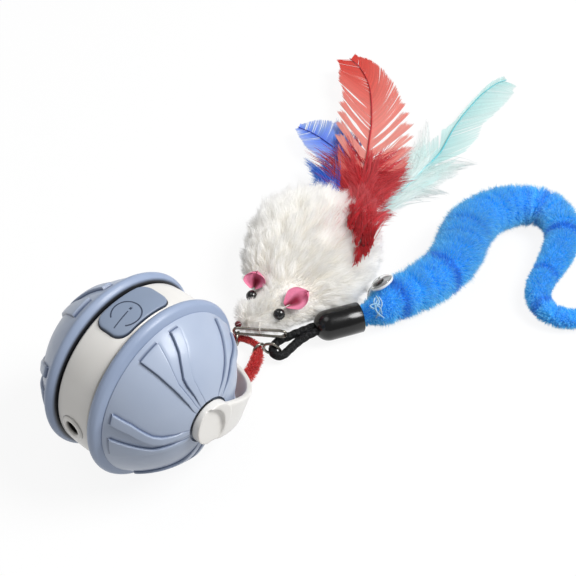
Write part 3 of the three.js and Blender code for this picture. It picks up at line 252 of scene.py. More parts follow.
def lathe(name, profile, segs, material, body, axis="y", start=(0, 0, AXLE_Z), sign=-1, closed=True, **attrs):
    """Profile rows of (radius, out) turned about an axis through start: radius times cosine and sine, and
    out to sign times the axis. attrs give one value for each row."""
    p = np.asarray(profile, float)
    turn = np.linspace(0, FULL_TURN, segs, endpoint=False)
    r, out = p[:, 0][:, None], p[:, 1][:, None] * sign + 0 * turn
    u, w = r * np.cos(turn), r * np.sin(turn)
    verts = np.stack((u, out, w) if axis == "y" else (out, u, w), -1).reshape(-1, 3) + start
    quads = grid_faces(len(p), segs, wrap_rows=closed, wrap_cols=True)
    return outward(piece(name, verts, quads, material, body,
                         **{key: np.repeat(value, segs) for key, value in attrs.items()}))


def along(name, profile, start, end, segs, material, body):
    """Profile rows of (radius, distance) turned about the line from start to end."""
    start, end = np.array(start, float), np.array(end, float)
    axis = normed(end - start)
    side = normed(np.cross(axis, UP if abs(axis[2]) < 0.9 else np.array([1.0, 0, 0])))
    over = np.cross(axis, side)
    turn = np.linspace(0, FULL_TURN, segs, endpoint=False)[:, None]
    p = np.asarray(profile, float)[:, :, None, None]
    verts = (start + p[:, 1] * axis + p[:, 0] * (np.cos(turn) * side + np.sin(turn) * over)).reshape(-1, 3)
    return outward(piece(name, verts, grid_faces(len(p), segs, wrap_cols=True), material, body))


def fillet(points, radius, steps, closed=True):
    """A profile whose corners are rounded off, each by a parabola that starts and ends along its two sides.
    A short side gives up at most 0.45 of its length to each corner."""
    p = np.asarray(points, float)
    n = len(p)
    out = []
    for i in range(n):
        if not closed and i in (0, n - 1):
            out.append(p[i])
            continue
        before, after = p[i - 1] - p[i], p[(i + 1) % n] - p[i]
        to_before, to_after = np.linalg.norm(before), np.linalg.norm(after)
        r = min(radius, 0.45 * to_before, 0.45 * to_after)
        a, b = p[i] + before / to_before * r, p[i] + after / to_after * r
        t = np.linspace(0, 1, steps + 1)[:, None]
        out.extend((1 - t) ** 2 * a + 2 * t * (1 - t) * p[i] + t * t * b)
    return np.array(out)


FUR_STOPS = (0.0, 0.4, 0.75)
BARB_STOPS = (0.0, 0.2, 0.4, 0.6, 0.8, 0.93)
STRAND_TAPER = 0.55


def ribbons(roots, directions, lengths, widths, g, bend=None, stops=FUR_STOPS, side=None):
    """Tapered flat strands. A strand's middle runs from its root by its length times (direction x t + bend
    x t x t), with two points at each stop t, half a width to either side, and one at the tip."""
    n = len(roots)
    way = normed(directions)
    side = normed(np.cross(way, g.normal(size=(n, 3))) if side is None else side)
    bend = np.zeros((n, 3)) if bend is None else bend
    rows, tips = [], []
    for t in stops:
        mid = roots + lengths[:, None] * (way * t + bend * t * t)
        half = (widths * (1 - STRAND_TAPER * t))[:, None] / 2
        rows.append(np.stack([mid - side * half, mid + side * half], 1))
        tips.append(np.full((n, 2), t))
    rows.append((roots + lengths[:, None] * (way + bend))[:, None])
    tips.append(np.full((n, 1), 1.0))
    verts, tip = np.concatenate(rows, 1), np.concatenate(tips, 1)
    per = verts.shape[1]
    first = (np.arange(n) * per)[:, None]
    quads = [first + np.array([[2 * i, 2 * i + 1, 2 * i + 3, 2 * i + 2]]) for i in range(len(stops) - 1)]
    last = 2 * (len(stops) - 1)
    tris = first + np.array([[last, last + 1, last + 2]])
    tone = np.repeat(g.random(n)[:, None], per, 1)
    return verts.reshape(-1, 3), np.concatenate(quads), tris, tip.ravel(), tone.ravel()


# Materials

NOISE, RAMP, MIX, BUMP = "ShaderNodeTexNoise", "ShaderNodeValToRGB", "ShaderNodeMix", "ShaderNodeBump"
ATTRIBUTE, MATH, PRINCIPLED = "ShaderNodeAttribute", "ShaderNodeMath", "ShaderNodeBsdfPrincipled"
MIX_SHADER, COORDS, LIGHT_PATH = "ShaderNodeMixShader", "ShaderNodeTexCoord", "ShaderNodeLightPath"
# A colour Mix node's sockets by number, because its names repeat
SHARE, FIRST, SECOND, MIXED = 0, 6, 7, 2


def colour(text):
    """An sRGB hex colour as linear RGBA."""
    parts = [int(text[i:i + 2], 16) / 255.0 for i in (1, 3, 5)]
    return tuple(c / 12.92 if c <= 0.04045 else ((c + 0.055) / 1.055) ** 2.4 for c in parts) + (1.0,)


def per_metre(mm):
    """A pattern's scale from the real size in millimetres of one of its features."""
    return 1000.0 / mm


def add(tree, kind, inputs=None, stops=(), **settings):
    """A node with its settings and links. inputs gives a socket its value, its hex colour or another node's
    output, and stops gives a colour ramp its positions, each with a hex colour or a grey."""
    node = tree.nodes.new(kind)
    for key, value in settings.items():
        setattr(node, key, value)
    for key, value in (inputs or {}).items():
        if isinstance(value, bpy.types.NodeSocket):
            tree.links.new(value, node.inputs[key])
        else:
            node.inputs[key].default_value = colour(value) if isinstance(value, str) else value
    if stops:
        elements = node.color_ramp.elements
        while len(elements) < len(stops):
            elements.new(0.5)
        for element, (at, value) in zip(elements, stops):
            element.position = at
            element.color = colour(value) if isinstance(value, str) else (value, value, value, 1)
    return node


def blank(name):
    """A new material, its empty tree and the Object coordinates there."""
    mat = bpy.data.materials.new(name)
    mat.use_nodes = True
    mat.node_tree.nodes.clear()
    return mat, mat.node_tree, add(mat.node_tree, COORDS).outputs["Object"]


def surfaced(mat, shader):
    """The material with this shader on its output."""
    add(mat.node_tree, "ShaderNodeOutputMaterial", {"Surface": shader.outputs[0]})
    return mat


def plastic(name, base, rough, cloudy, grain=0.012, coat=0.0, crease=None):
    """Moulded plastic. To the eye its colour clouds a little every 18 mm, its gloss is scuffed every 2.4
    mm, a grain of 0.4 mm breaks the highlight, and painted shade darkens the places whose attribute
    crease is high, towards the colour crease. The real grain is finer; this one is as coarse as it needs
    to be to show. grain is its height in mm."""
    mat, tree, where = blank(name)
    clouds = add(tree, NOISE, {"Vector": where, "Scale": per_metre(18.18), "Detail": 2.0})
    share = add(tree, RAMP, {"Fac": clouds.outputs["Fac"]}, stops=[(0.35, 0.0), (0.72, 1.0)])
    tone = add(tree, MIX, {SHARE: share.outputs["Color"], FIRST: base, SECOND: cloudy}, data_type="RGBA")
    # Painted shade: the crease colour is mixed in where the attribute crease is high
    if crease:
        painted_shade = add(tree, ATTRIBUTE, attribute_name="crease")
        tone = add(tree, MIX, {SHARE: painted_shade.outputs["Fac"], FIRST: tone.outputs[MIXED], SECOND: crease},
                   data_type="RGBA")
    scuffs = add(tree, NOISE, {"Vector": where, "Scale": per_metre(2.381), "Detail": 4.0, "Roughness": 0.6})
    gloss = add(tree, RAMP, {"Fac": scuffs.outputs["Fac"]}, stops=[(0.3, rough - 0.04), (0.75, rough + 0.06)])
    fine = add(tree, NOISE, {"Vector": where, "Scale": per_metre(0.3846), "Detail": 2.0})
    bump = add(tree, BUMP, {"Height": fine.outputs["Fac"], "Strength": 0.12, "Distance": grain / 1000})
    return surfaced(mat, add(tree, PRINCIPLED, {
        "Base Color": tone.outputs[MIXED], "Roughness": gloss.outputs["Color"], "Metallic": 0.0,
        "Coat Weight": coat, "Coat Roughness": 0.12, "Normal": bump.outputs["Normal"]}))


# Moulded ABS of the domes: an even pale blue with a satin sheen, whose ribs' feet and ends are darkened
# by painted shade
SHELL = plastic("blue_moulded_abs", "#adb9ce", 0.38, "#a5b2c9", coat=0.15, crease="#465678")
# Thermoplastic rubber of the tyres: a deeper, duller blue, with near-black painted shade in the gap
# beside the band
TYRE = plastic("blue_grey_rubber", "#9baac5", 0.42, "#93a3c0", coat=0.1, crease="#15181f")
# Glossier white ABS of the band, port and bail: warm white, with a soft highlight; painted shade
# darkens the port's hole and foot
WHITE = plastic("white_moulded_abs", "#ebe9e5", 0.32, "#e4e1dc", coat=0.2, crease="#17130f")
# Silicone of the button: slate blue and matt, with painted shade as a dark line round its foot
BUTTON = plastic("slate_silicone", "#8997ae", 0.42, "#8492a8", crease="#3c4658")
# Undyed ABS of the fixed middle: dull ivory
INNER = plastic("undyed_abs", "#d2d0ca", 0.5, "#c6c4be")
# Acetal of the ring gears: milky and waxy
GEARS = plastic("milky_acetal", "#efece0", 0.45, "#e4e0d2")
# Black nylon of the jack and the switch: near black, half matt
DARK = plastic("black_nylon", "#1c1d20", 0.4, "#141518")
# Pad-printed ink of the power sign: a flat dark slate line
SIGN = plastic("slate_ink", "#39445a", 0.5, "#313b4e")
# Glossy soft PVC of the tail's cap: black, with long sharp highlights
CAP = plastic("black_glossy_pvc", "#030304", 0.22, "#060607", grain=0.004, coat=0.12)
# Dyed keratin of the quills: a thin glossy line, darker than the barbs
QUILL_RED = plastic("red_dyed_quill", "#b8222c", 0.4, "#c8404a")
QUILL_BLUE = plastic("blue_dyed_quill", "#2c3fae", 0.4, "#3c54c8")
QUILL_AQUA = plastic("aqua_dyed_quill", "#62c2cc", 0.4, "#86d4dc")
# Pressed black glass of the beads and polished discs: a dark mirror with one small highlight
BEAD = plastic("black_pressed_glass", "#060607", 0.08, "#0c0d0f", grain=0.002, coat=0.6)
# Polished polystyrene of the wobbling eyes: bright white with a glossy rim
EYE_WHITE = plastic("white_polystyrene", "#f2f4f5", 0.25, "#e4e7e9", grain=0.003, coat=0.6)


def metal(name, base, rough):
    """Worn metal: a mirror that its wear blurs in patches of 1.1 mm, which also stand 0.02 mm high."""
    mat, tree, where = blank(name)
    wear = add(tree, NOISE, {"Vector": where, "Scale": per_metre(1.111), "Detail": 4.0, "Roughness": 0.65})
    gloss = add(tree, RAMP, {"Fac": wear.outputs["Fac"]}, stops=[(0.3, rough - 0.08), (0.8, rough + 0.16)])
    bump = add(tree, BUMP, {"Height": wear.outputs["Fac"], "Strength": 0.08, "Distance": 0.00002})
    return surfaced(mat, add(tree, PRINCIPLED, {
        "Base Color": base, "Roughness": gloss.outputs["Color"], "Metallic": 1.0,
        "Normal": bump.outputs["Normal"]}))


# Nickel-plated spring steel of the clasps, shafts and screws: a warm grey mirror
STEEL = metal("nickel_plated_steel", "#8f8b83", 0.2)
# Zinc-plated can of the motors: paler and duller
CAN = metal("zinc_plated_can", "#b9bcc0", 0.34)


def solder_mask():
    """Green solder mask over copper: glossy green with paler tracks in a brick pattern 2.6 mm across."""
    mat, tree, where = blank("green_solder_mask")
    tracks = add(tree, "ShaderNodeTexBrick", {"Vector": where, "Scale": per_metre(2.632)})
    tone = add(tree, MIX, {SHARE: tracks.outputs["Fac"], FIRST: "#1f6b43", SECOND: "#2f8a5a"},
               data_type="RGBA")
    return surfaced(mat, add(tree, PRINCIPLED, {"Base Color": tone.outputs[MIXED], "Roughness": 0.4}))


def foil():
    """The cell's laminated foil: a soft silver whose creases, about 4 mm apart, catch the light."""
    mat, tree, where = blank("cell_foil")
    creases = add(tree, NOISE, {"Vector": where, "Scale": per_metre(3.846), "Detail": 5.0, "Roughness": 0.7})
    bump = add(tree, BUMP, {"Height": creases.outputs["Fac"], "Strength": 0.3, "Distance": 0.0002})
    return surfaced(mat, add(tree, PRINCIPLED, {
        "Base Color": "#9aa3ad", "Roughness": 0.3, "Metallic": 0.8, "Normal": bump.outputs["Normal"]}))


def fibre(name, colours, rough=0.7, through=0.25, sheen=0.3, vary=0.16, thin=0.5, measure="tip", fold=None,
          streak=None, streak_share=0.0):
    """Strands whose colour runs from root to tip, or along the quill, each with its own tone. Light passes
    through them, and as a real strand is thinner than the one drawn, its shadow is lighter by the share
    thin."""
    mat, tree, _ = blank(name)
    run = add(tree, ATTRIBUTE, attribute_name=measure)
    tone = add(tree, RAMP, {"Fac": run.outputs["Fac"]}, stops=colours).outputs["Color"]
    # Painted shade: strands in a fold are drawn towards the colour fold
    if fold:
        deep = add(tree, ATTRIBUTE, attribute_name="fold")
        tone = add(tree, MIX, {SHARE: deep.outputs["Fac"], FIRST: tone, SECOND: fold},
                   data_type="RGBA").outputs[MIXED]
    own = add(tree, ATTRIBUTE, attribute_name="tone")
    dimmer = add(tree, RAMP, {"Fac": own.outputs["Fac"]}, stops=[(0.0, 1.0 - vary), (1.0, 1.0)])
    tone = add(tree, MIX, {SHARE: 1.0, FIRST: tone, SECOND: dimmer.outputs["Color"]},
               data_type="RGBA", blend_type="MULTIPLY").outputs[MIXED]
    if streak:
        dyed = add(tree, ATTRIBUTE, attribute_name="streak")
        share = add(tree, MATH, {0: dyed.outputs["Fac"], 1: streak_share}, operation="MULTIPLY")
        tone = add(tree, MIX, {SHARE: share.outputs[0], FIRST: tone, SECOND: streak},
                   data_type="RGBA").outputs[MIXED]
    shader = add(tree, PRINCIPLED, {"Base Color": tone, "Roughness": rough, "Metallic": 0.0,
                                    "Sheen Weight": sheen, "Specular IOR Level": 0.25})
    glow = add(tree, "ShaderNodeBsdfTranslucent", {"Color": tone})
    lit = add(tree, MIX_SHADER, {0: through, 1: shader.outputs[0], 2: glow.outputs[0]})
    path = add(tree, LIGHT_PATH)
    share = add(tree, MATH, {0: path.outputs["Is Shadow Ray"], 1: thin}, operation="MULTIPLY")
    gap = add(tree, "ShaderNodeBsdfTransparent")
    return surfaced(mat, add(tree, MIX_SHADER, {0: share.outputs[0], 1: lit.outputs[0], 2: gap.outputs[0]}))


def root_to_tip(root, middle, tip):
    """The ramp of a strand that is one colour at its root, one at its middle and one at its tip."""
    return [(0.0, root), (0.45, middle), (1.0, tip)]


# Bleached fur: bright warm white, soft-edged, with a few hairs at the rump dyed by the red down
FUR = fibre("bleached_fur", root_to_tip("#f2efe9", "#fbfaf7", "#ffffff"), through=0.5, sheen=0.2, vary=0.05,
            thin=0.7, streak="#c02840", streak_share=1.3)
# Chenille pile: a strong sky blue with pale tips, darkened at the roots by painted shade, and deeper blue
# in its folds by painted shade
PLUSH = fibre("blue_chenille_pile", root_to_tip("#30b4ff", "#42d0ff", "#a4e6ff"), rough=0.6, through=0.45,
              vary=0.12, thin=0.75, fold="#1c74e4")
# Brushed acrylic of the red loop: a dull red core under a pinker haze
RED_FUZZ = fibre("red_brushed_acrylic", root_to_tip("#c4222a", "#ea4444", "#f67c78"), vary=0.22)
# Dyed feather barbs, thin enough to glow: red at the foot, washed pink at the middle, coral at the tip
RED_VANE = fibre("red_dyed_barbs", [(0.12, "#dc3038"), (0.34, "#f4bcb2"), (0.6, "#f2a89e"), (0.8, "#ec7e72"),
                                    (1.0, "#e8564a")], through=0.5, vary=0.14, thin=0.7, measure="along")
BLUE_VANE = fibre("blue_dyed_barbs", root_to_tip("#7ea2f2", "#9cbcf8", "#c0d0f6"), through=0.5, thin=0.7)
AQUA_VANE = fibre("aqua_dyed_barbs", root_to_tip("#cfeaea", "#dcefee", "#e8f4f3"), through=0.55, vary=0.1,
                  thin=0.7)
# Dyed marabou down: fuller colour than the barbs, and very uneven from wisp to wisp
RED_DOWN = fibre("red_marabou_down", root_to_tip("#c81424", "#e02c3a", "#ee6a70"), through=0.45, vary=0.32,
                 thin=0.6)
BLUE_DOWN = fibre("blue_marabou_down", root_to_tip("#2454e4", "#3878f0", "#6cacf8"), through=0.4, vary=0.3)
AQUA_DOWN = fibre("aqua_marabou_down", root_to_tip("#d9eeee", "#e8f3f2", "#f3f8f7"), through=0.55, vary=0.08,
                  thin=0.7)


def cloth(name, base, darker, thread=1.111, height=0.3, inside=None):
    """Matted or twisted fibre: a sheen at grazing light, flecks one thread wide that stand height mm high,
    and mottling nine threads wide. Where the attribute inside is high, painted shade darkens a fold to the
    colour inside."""
    mat, tree, where = blank(name)
    fine = add(tree, NOISE, {"Vector": where, "Scale": per_metre(thread), "Detail": 5.0, "Roughness": 0.7})
    broad = add(tree, NOISE, {"Vector": where, "Scale": per_metre(9 * thread), "Detail": 3.0})
    share = add(tree, RAMP, {"Fac": broad.outputs["Fac"]}, stops=[(0.3, 0.0), (0.7, 1.0)])
    tone = add(tree, MIX, {SHARE: share.outputs["Color"], FIRST: base, SECOND: darker}, data_type="RGBA")
    # Painted shade: the colour inside darkens a fold where the attribute inside is high
    if inside:
        deep = add(tree, ATTRIBUTE, attribute_name="inside")
        tone = add(tree, MIX, {SHARE: deep.outputs["Fac"], FIRST: tone.outputs[MIXED], SECOND: inside},
                   data_type="RGBA")
    fleck = add(tree, RAMP, {"Fac": fine.outputs["Fac"]}, stops=[(0.3, 0.8), (0.7, 1.0)])
    tone = add(tree, MIX, {SHARE: 1.0, FIRST: tone.outputs[MIXED], SECOND: fleck.outputs["Color"]},
               data_type="RGBA", blend_type="MULTIPLY")
    bump = add(tree, BUMP, {"Height": fine.outputs["Fac"], "Strength": 0.7, "Distance": height / 1000})
    return surfaced(mat, add(tree, PRINCIPLED, {
        "Base Color": tone.outputs[MIXED], "Roughness": 0.9, "Metallic": 0.0, "Sheen Weight": 0.3,
        "Normal": bump.outputs["Normal"]}))


# Woven backing of the fur: cream, and hardly seen between the hairs
FUR_SKIN = cloth("fur_backing", "#f8f6f2", "#eee8dc")
# Twisted core of the chenille: mid blue, seen as the shade between tufts
PLUSH_CORE = cloth("chenille_core", "#34acfc", "#2088e8")
# Twisted acrylic under the red haze: a deep even red
RED_CORE = cloth("red_twisted_acrylic", "#cc2228", "#9c141c")
# Pressed wool felt of the ears: rose pink, with painted shade of dark wine inside the fold
EAR = cloth("rose_wool_felt", "#f590b2", "#ea6e96", 1.429, 0.2, inside="#9c1840")
# Stranded cotton of the nose's knot: dark wine, matt
NOSE = cloth("wine_stranded_cotton", "#7c1c26", "#5a1018", 0.625, 0.1)
# Sewing threads: pale blue at the worm's neck, off-white at the mouse's clip
THREAD = cloth("pale_blue_thread", "#bfe0f4", "#8fc0e4", 0.6667, 0.1)
WHITE_THREAD = cloth("off_white_thread", "#ece9e2", "#d6d2c8", 0.6667, 0.1)


def braided_nylon():
    """Braided nylon: black, with single dark grey fibres of 0.4 mm that catch the light."""
    mat, tree, where = blank("black_braided_nylon")
    fine = add(tree, NOISE, {"Vector": where, "Scale": per_metre(0.4167), "Detail": 4.0, "Roughness": 0.7})
    share = add(tree, RAMP, {"Fac": fine.outputs["Fac"]}, stops=[(0.48, 0.0), (0.72, 1.0)])
    tone = add(tree, MIX, {SHARE: share.outputs["Color"], FIRST: "#060607", SECOND: "#3c3e41"},
               data_type="RGBA")
    bump = add(tree, BUMP, {"Height": fine.outputs["Fac"], "Strength": 0.5, "Distance": 0.0001})
    return surfaced(mat, add(tree, PRINCIPLED, {
        "Base Color": tone.outputs[MIXED], "Roughness": 0.6, "Metallic": 0.0, "Specular IOR Level": 0.2,
        "Normal": bump.outputs["Normal"]}))


def clear_dome():
    """Vacuum-formed clear sheet over a wobbling eye: glass-like, with faint scuffs 1.4 mm apart."""
    mat, tree, where = blank("clear_formed_sheet")
    scuffs = add(tree, NOISE, {"Vector": where, "Scale": per_metre(1.429), "Detail": 3.0})
    bump = add(tree, BUMP, {"Height": scuffs.outputs["Fac"], "Strength": 0.02, "Distance": 0.00005})
    return surfaced(mat, add(tree, PRINCIPLED, {
        "Base Color": "#ffffff", "Roughness": 0.04, "Metallic": 0.0, "IOR": 1.35, "Transmission Weight": 1.0,
        "Normal": bump.outputs["Normal"]}))


BRAID = braided_nylon()
CLEAR = clear_dome()

CARRIED = [
    (STEEL, ["near_wheel_retainer", "far_wheel_retainer", "near_pinion", "far_pinion"]),
    (STEEL, ["drum_screw_%d" % k for k in (1, 2, 3, 4)]),
    (GEARS, ["near_ring_gear", "far_ring_gear"]),
    (CAN, ["near_gear_motor", "far_gear_motor"]),
    (INNER, ["near_drum_half", "far_drum_half"]),
    (DARK, ["charge_jack", "tact_switch"]),
    (solder_mask(), ["circuit_board"]),
    (foil(), ["battery"]),
]
for material, nodes in CARRIED:
    for node in nodes:
        for slot in frame["nodes"][node].material_slots:
            slot.material = material


# Cords

# Each route is a list of points, as the CAD has it
RED_ROUTE = [
    [54.2, -0.4, 4.1], [54, -3.2, 4.1], [52.4, -5.2, 4.1], [49.8, -6.8, 4], [46, -8.4, 3.4],
    [41.6, -9.4, 2.6], [36.6, -9.4, 2.4], [31.4, -8, 2.5], [28.8, -5.2, 5.4], [30.2, -2.2, 8.8],
    [32.4, 0.4, 11.2], [35.2, 2.6, 14.4], [39.2, 4.2, 14.6], [41.6, 5.4, 10.4], [44.4, 6.4, 7],
    [47.8, 6.6, 5], [51, 5.6, 4.2], [53.4, 3.4, 4.1],
]
BLACK_ROUTE = [
    [77, -15.6, 6.4], [74.4, -14.5, 6.4], [71.2, -12.8, 5.9], [66.2, -9.9, 4.8], [61.4, -7.4, 3.8],
    [58.4, -7.6, 3.6], [56.2, -8.8, 3.6], [55.2, -10.8, 3.5], [56.6, -13.0, 3.5], [60.2, -13.2, 3.6],
    [64.9, -13.5, 4.3], [70, -15.1, 5.6], [74, -17.4, 6.4], [76.4, -18.8, 6.4],
]
RED_RINGS, BLACK_RINGS = 260, 420
FUZZ_COUNT, FUZZ_WIDTH, FUZZ_LOWEST = 12000, 0.24, 0.15
# How far along the black cord a strand of the braid runs while it winds a quarter of the way round
BRAID_LAY = 3.2


def red_loop():
    """A closed fuzzy cord. Its radius is 1 mm in the clasps and 2 mm from there on; the round core has 0.8
    of it, and straight fibres start inside the core and stand out all round."""
    line, length = smooth_curve(RED_ROUTE, RED_RINGS, closed=True)
    share = np.arange(RED_RINGS) / RED_RINGS
    radius = 1.0 + smoothstep(0.07, 0.12, np.minimum(share, 1 - share))
    core = tube("red_cord", line, radius * 0.8, 14, RED_CORE, "drag_bail", closed=True)
    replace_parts(core, "red_loop")
    at = rng.integers(0, RED_RINGS, FUZZ_COUNT)
    forward, across, over = frames(line, closed=True)
    angle = rng.uniform(0, FULL_TURN, FUZZ_COUNT)[:, None]
    way = across[at] * np.cos(angle) + over[at] * np.sin(angle)
    shift = forward[at] * rng.uniform(-0.3, 0.3, FUZZ_COUNT)[:, None]
    roots = line[at] + way * (radius[at] * 0.6)[:, None] + shift
    lean = 0.3 * rng.normal(size=(FUZZ_COUNT, 3))
    lengths = 0.3 + radius[at] * rng.uniform(0.45, 0.8, FUZZ_COUNT)
    v, q, t, tip, tone = ribbons(roots, way + lean, lengths, np.full(FUZZ_COUNT, FUZZ_WIDTH), rng)
    v[:, 2] = np.maximum(v[:, 2], FUZZ_LOWEST + 0.1 * rng.random(len(v)))
    piece("red_cord_fuzz", v, q, RED_FUZZ, "drag_bail", tris=t, tip=tip, tone=tone)


def black_loop():
    """A doubled braided cord: a tube whose radius swells by the greater of two cosines, four round the
    section, that wind opposite ways along it as the braid's crossing strands do."""
    line, length = smooth_curve(BLACK_ROUTE, BLACK_RINGS)
    sides = 20
    turn = 4 * np.linspace(0, FULL_TURN, sides, endpoint=False)[None]
    wind = np.linspace(0, length, BLACK_RINGS)[:, None] * FULL_TURN / BRAID_LAY
    radius = 1.52 + 0.17 * np.maximum(np.cos(turn + wind), np.cos(turn - wind))
    cord = tube("black_cord", line, radius, sides, BRAID, "tail")
    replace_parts(cord, "black_loop")


red_loop()
black_loop()


# Wheels

# The dome's outside is half an ellipsoid: its radius across the axle, and its depth along it
DOME_R, DOME_D = 32.3, 31.5
# How far out the tyre's edge meets the dome, and the dome's radius there
TYRE_LINE = 12.8
TYRE_LINE_R = DOME_R * math.sqrt(1 - (TYRE_LINE / DOME_D) ** 2)
HUB_R = 8.4
# Five pairs of ribs. Each pair's four edges lie at these degrees, at these shares of the dome's radius
PAIRS, PAIR_STEP, FIRST_PAIR = 5, 72, 97.5
RIB_SHARES = np.array([0.31, 0.41, 0.54, 0.607, 0.765, 0.87])
RIB_EDGES = [
    [-3.4, -2.2, -2.4, -4.4, -13.7, -17.3], [9, 7.4, 6.8, 5, -5.5, -9.7],
    [16.4, 14, 12.6, 11.8, 5.2, 1.4], [25.6, 21.4, 18.8, 18, 17, 17.1],
]
RIB_END = 0.882
# Across an edge, from the ground beside the rib to its top: the place, the height and how dark
# the painted shade in the crease is
EDGE_OFFSETS = np.array([-0.5, -0.22, -0.08, 0.03, 0.16, 0.32, 0.6])
EDGE_HEIGHTS = np.array([0.0, -0.07, 0.02, 0.6, 0.94, 1.0, 1.0])
EDGE_CREASE = np.array([0.0, 0.55, 1.0, 0.35, 0.0, 0.0, 0.0])
# The dome's wall, as (radius, out): the skirt inside the tyre, then the hub's recess and the inside
DOME_SKIRT = np.array([(28.4, 7.9), (28.4, 12.3), (28.6, 12.5), (TYRE_LINE_R - 0.5, 12.5)])
DOME_INSIDE = np.array([
    (8.34, 30.25), (8.3, 29.1), (8.1, 28.9), (3.25, 28.9), (3.25, 21.0), (5.6, 21.0), (5.6, 27.0),
    (10.2, 27.0), (20.0, 22.6), (25.0, 16.6), (26.8, 13.4), (26.8, 7.9),
])


def edge_columns(at, sign, rib, ground, arc):
    """Columns over one edge: its angle plus each offset over the arc of a degree. sign is 1 where the rib
    lies at greater angles. The offsets draw together where the rib or the ground beside it is narrow."""
    room = np.minimum(1, rib / 1.5)[:, None], np.minimum(1, ground / 1.2)[:, None]
    scale = np.where(EDGE_OFFSETS > 0, *room)
    columns = (at[:, None] + sign * EDGE_OFFSETS * scale / arc)[:, ::sign]
    return columns, columns * 0 + EDGE_HEIGHTS[::sign], columns * 0 + EDGE_CREASE[::sign]


def pair_columns(edges, arc):
    """Angles, heights and the painted shade of the creases for one pair of ribs: columns over its four
    edges, and columns spread evenly between them over rib, ground, rib and the ground as far as the next
    pair."""
    first, gap, second = [(edges[:, k + 1] - edges[:, k]) * arc[:, 0] for k in range(3)]
    far = np.full(len(arc), 9.0)
    beside = [(1, first, far), (-1, first, gap), (1, second, gap), (-1, second, far)]
    over = [edge_columns(edges[:, k], *row, arc) for k, row in enumerate(beside)]
    starts = [columns[0][:, :1] for columns in over[1:]] + [over[0][0][:, :1] + PAIR_STEP]
    parts = []
    for columns, after, count, height in zip(over, starts, (3, 3, 3, 16), (1.0, 0.0, 1.0, 0.0)):
        before = columns[0][:, -1:]
        even = before + (after - before) * np.linspace(0, 1, count + 2)[1:-1]
        parts += [columns, (even, even * 0 + height, even * 0)]
    return [np.hstack(group) for group in zip(*parts)]


def dome(name, side):
    """Ribbed wheel cover, one closed grid of rings by angle whose columns follow the ribs' edges. At a
    share of the radius an ellipsoid's point is (radius x share, depth x cosine), and it moves out along its
    normal by the height of the rib, which rises over the ribs' edges and ends and fades towards the hub."""
    ends = RIB_END - EDGE_OFFSETS / DOME_R
    even = np.sin(np.linspace(np.arcsin(TYRE_LINE_R / DOME_R), np.arcsin(HUB_R / DOME_R), 66))
    even = even[(even > ends[0] + 0.004) | (even < ends[-1] - 0.006)]
    share = np.sort(np.concatenate([even, ends]))[::-1]
    edges = np.stack([np.interp(share, RIB_SHARES, row) for row in RIB_EDGES], -1)
    pair, lift, painted_shade = pair_columns(edges, np.radians(DOME_R * share)[:, None])
    angle = np.hstack([pair + FIRST_PAIR + PAIR_STEP * k for k in range(PAIRS)])
    lift, painted_shade = np.tile(lift, (1, PAIRS)), np.tile(painted_shade, (1, PAIRS))
    depth = ((RIB_END - share) * DOME_R)[:, None]
    end, end_painted_shade = np.interp(depth, EDGE_OFFSETS, EDGE_HEIGHTS), np.interp(depth, EDGE_OFFSETS, EDGE_CREASE)
    fade = np.interp(share, [0.26, 0.31, 0.41, 0.54], [0.0, 0.2, 0.6, 1.0])[:, None]
    height = np.where(lift > 0, np.minimum(lift, np.maximum(end, 0)), lift * (depth > 0)) * fade
    height += np.where((lift > 0.5) & (end < 0), end, 0)
    # Painted shade: darkness at the ribs' feet and ends, fading with the ribs towards the hub
    painted_shade = np.where(depth > 0.1, painted_shade, 0) * np.minimum(1, 0.55 + fade)
    painted_shade = np.maximum(painted_shade, np.where(lift > 0.5, end_painted_shade, 0))
    rise = np.sqrt(1 - share ** 2)
    normal = normed(np.stack([share / DOME_R, rise / DOME_D], -1))
    face = np.stack([DOME_R * share, DOME_D * rise], -1)[:, None] + height[..., None] * normal[:, None]
    face[-1, :, 0] = face[-1, :, 0].mean()
    skirt, inside = [np.repeat(wall[:, None], angle.shape[1], 1) for wall in (DOME_SKIRT, DOME_INSIDE)]
    r, out = np.moveaxis(np.concatenate([skirt, face, inside]), -1, 0)
    rows = ((len(skirt), len(inside)), (0, 0))
    turn = np.radians(np.pad(angle, rows, mode="edge"))
    verts = np.stack([r * np.cos(turn), side * out, r * np.sin(turn) + AXLE_Z], -1).reshape(-1, 3)
    obj = outward(piece(name + "_dome_skin", verts, grid_faces(*r.shape, True, True), SHELL, name + "_wheel",
                        crease=np.pad(painted_shade, rows).ravel()))
    shade(obj, 30)
    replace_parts(obj, name + "_dome")


def tyre(name, side):
    """A rounded section turned about the axle. Low on the face beside the band, painted shade darkens its
    crease.
    """
    profile = fillet([
        [28.6, 7.65], [30.5, 7.65], [31.5, 8.15], [32.38, 9.3], [AXLE_Z, 10.3], [31.75, 11.7],
        [TYRE_LINE_R - 0.05, 12.6], [28.6, 12.6],
    ], 0.8, 4)
    # Painted shade low on the face beside the band, in the gap
    deep = np.interp(profile[:, 0], [30.6, 31.5], [1.0, 0.0]) * (profile[:, 1] < 9)
    obj = lathe(name + "_tyre_ring", profile, 256, TYRE, name + "_wheel", sign=side, crease=deep)
    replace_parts(obj, name + "_tyre")


for name, side in (("near", -1), ("far", 1)):
    dome(name, side)
    tyre(name, side)


# Band, button and port

BAND_R = 30.45
WINDOW = (23.1, 12.9, 4.25)
PAD_LENGTH, PAD_WIDTH, PAD_CORNER = 22.6, 12.4, 4.0
# The pad's face stands 1 mm over the band, and its crown falls this far to its long edges
PAD_R = BAND_R + 1.0
PAD_CROWN = 0.3


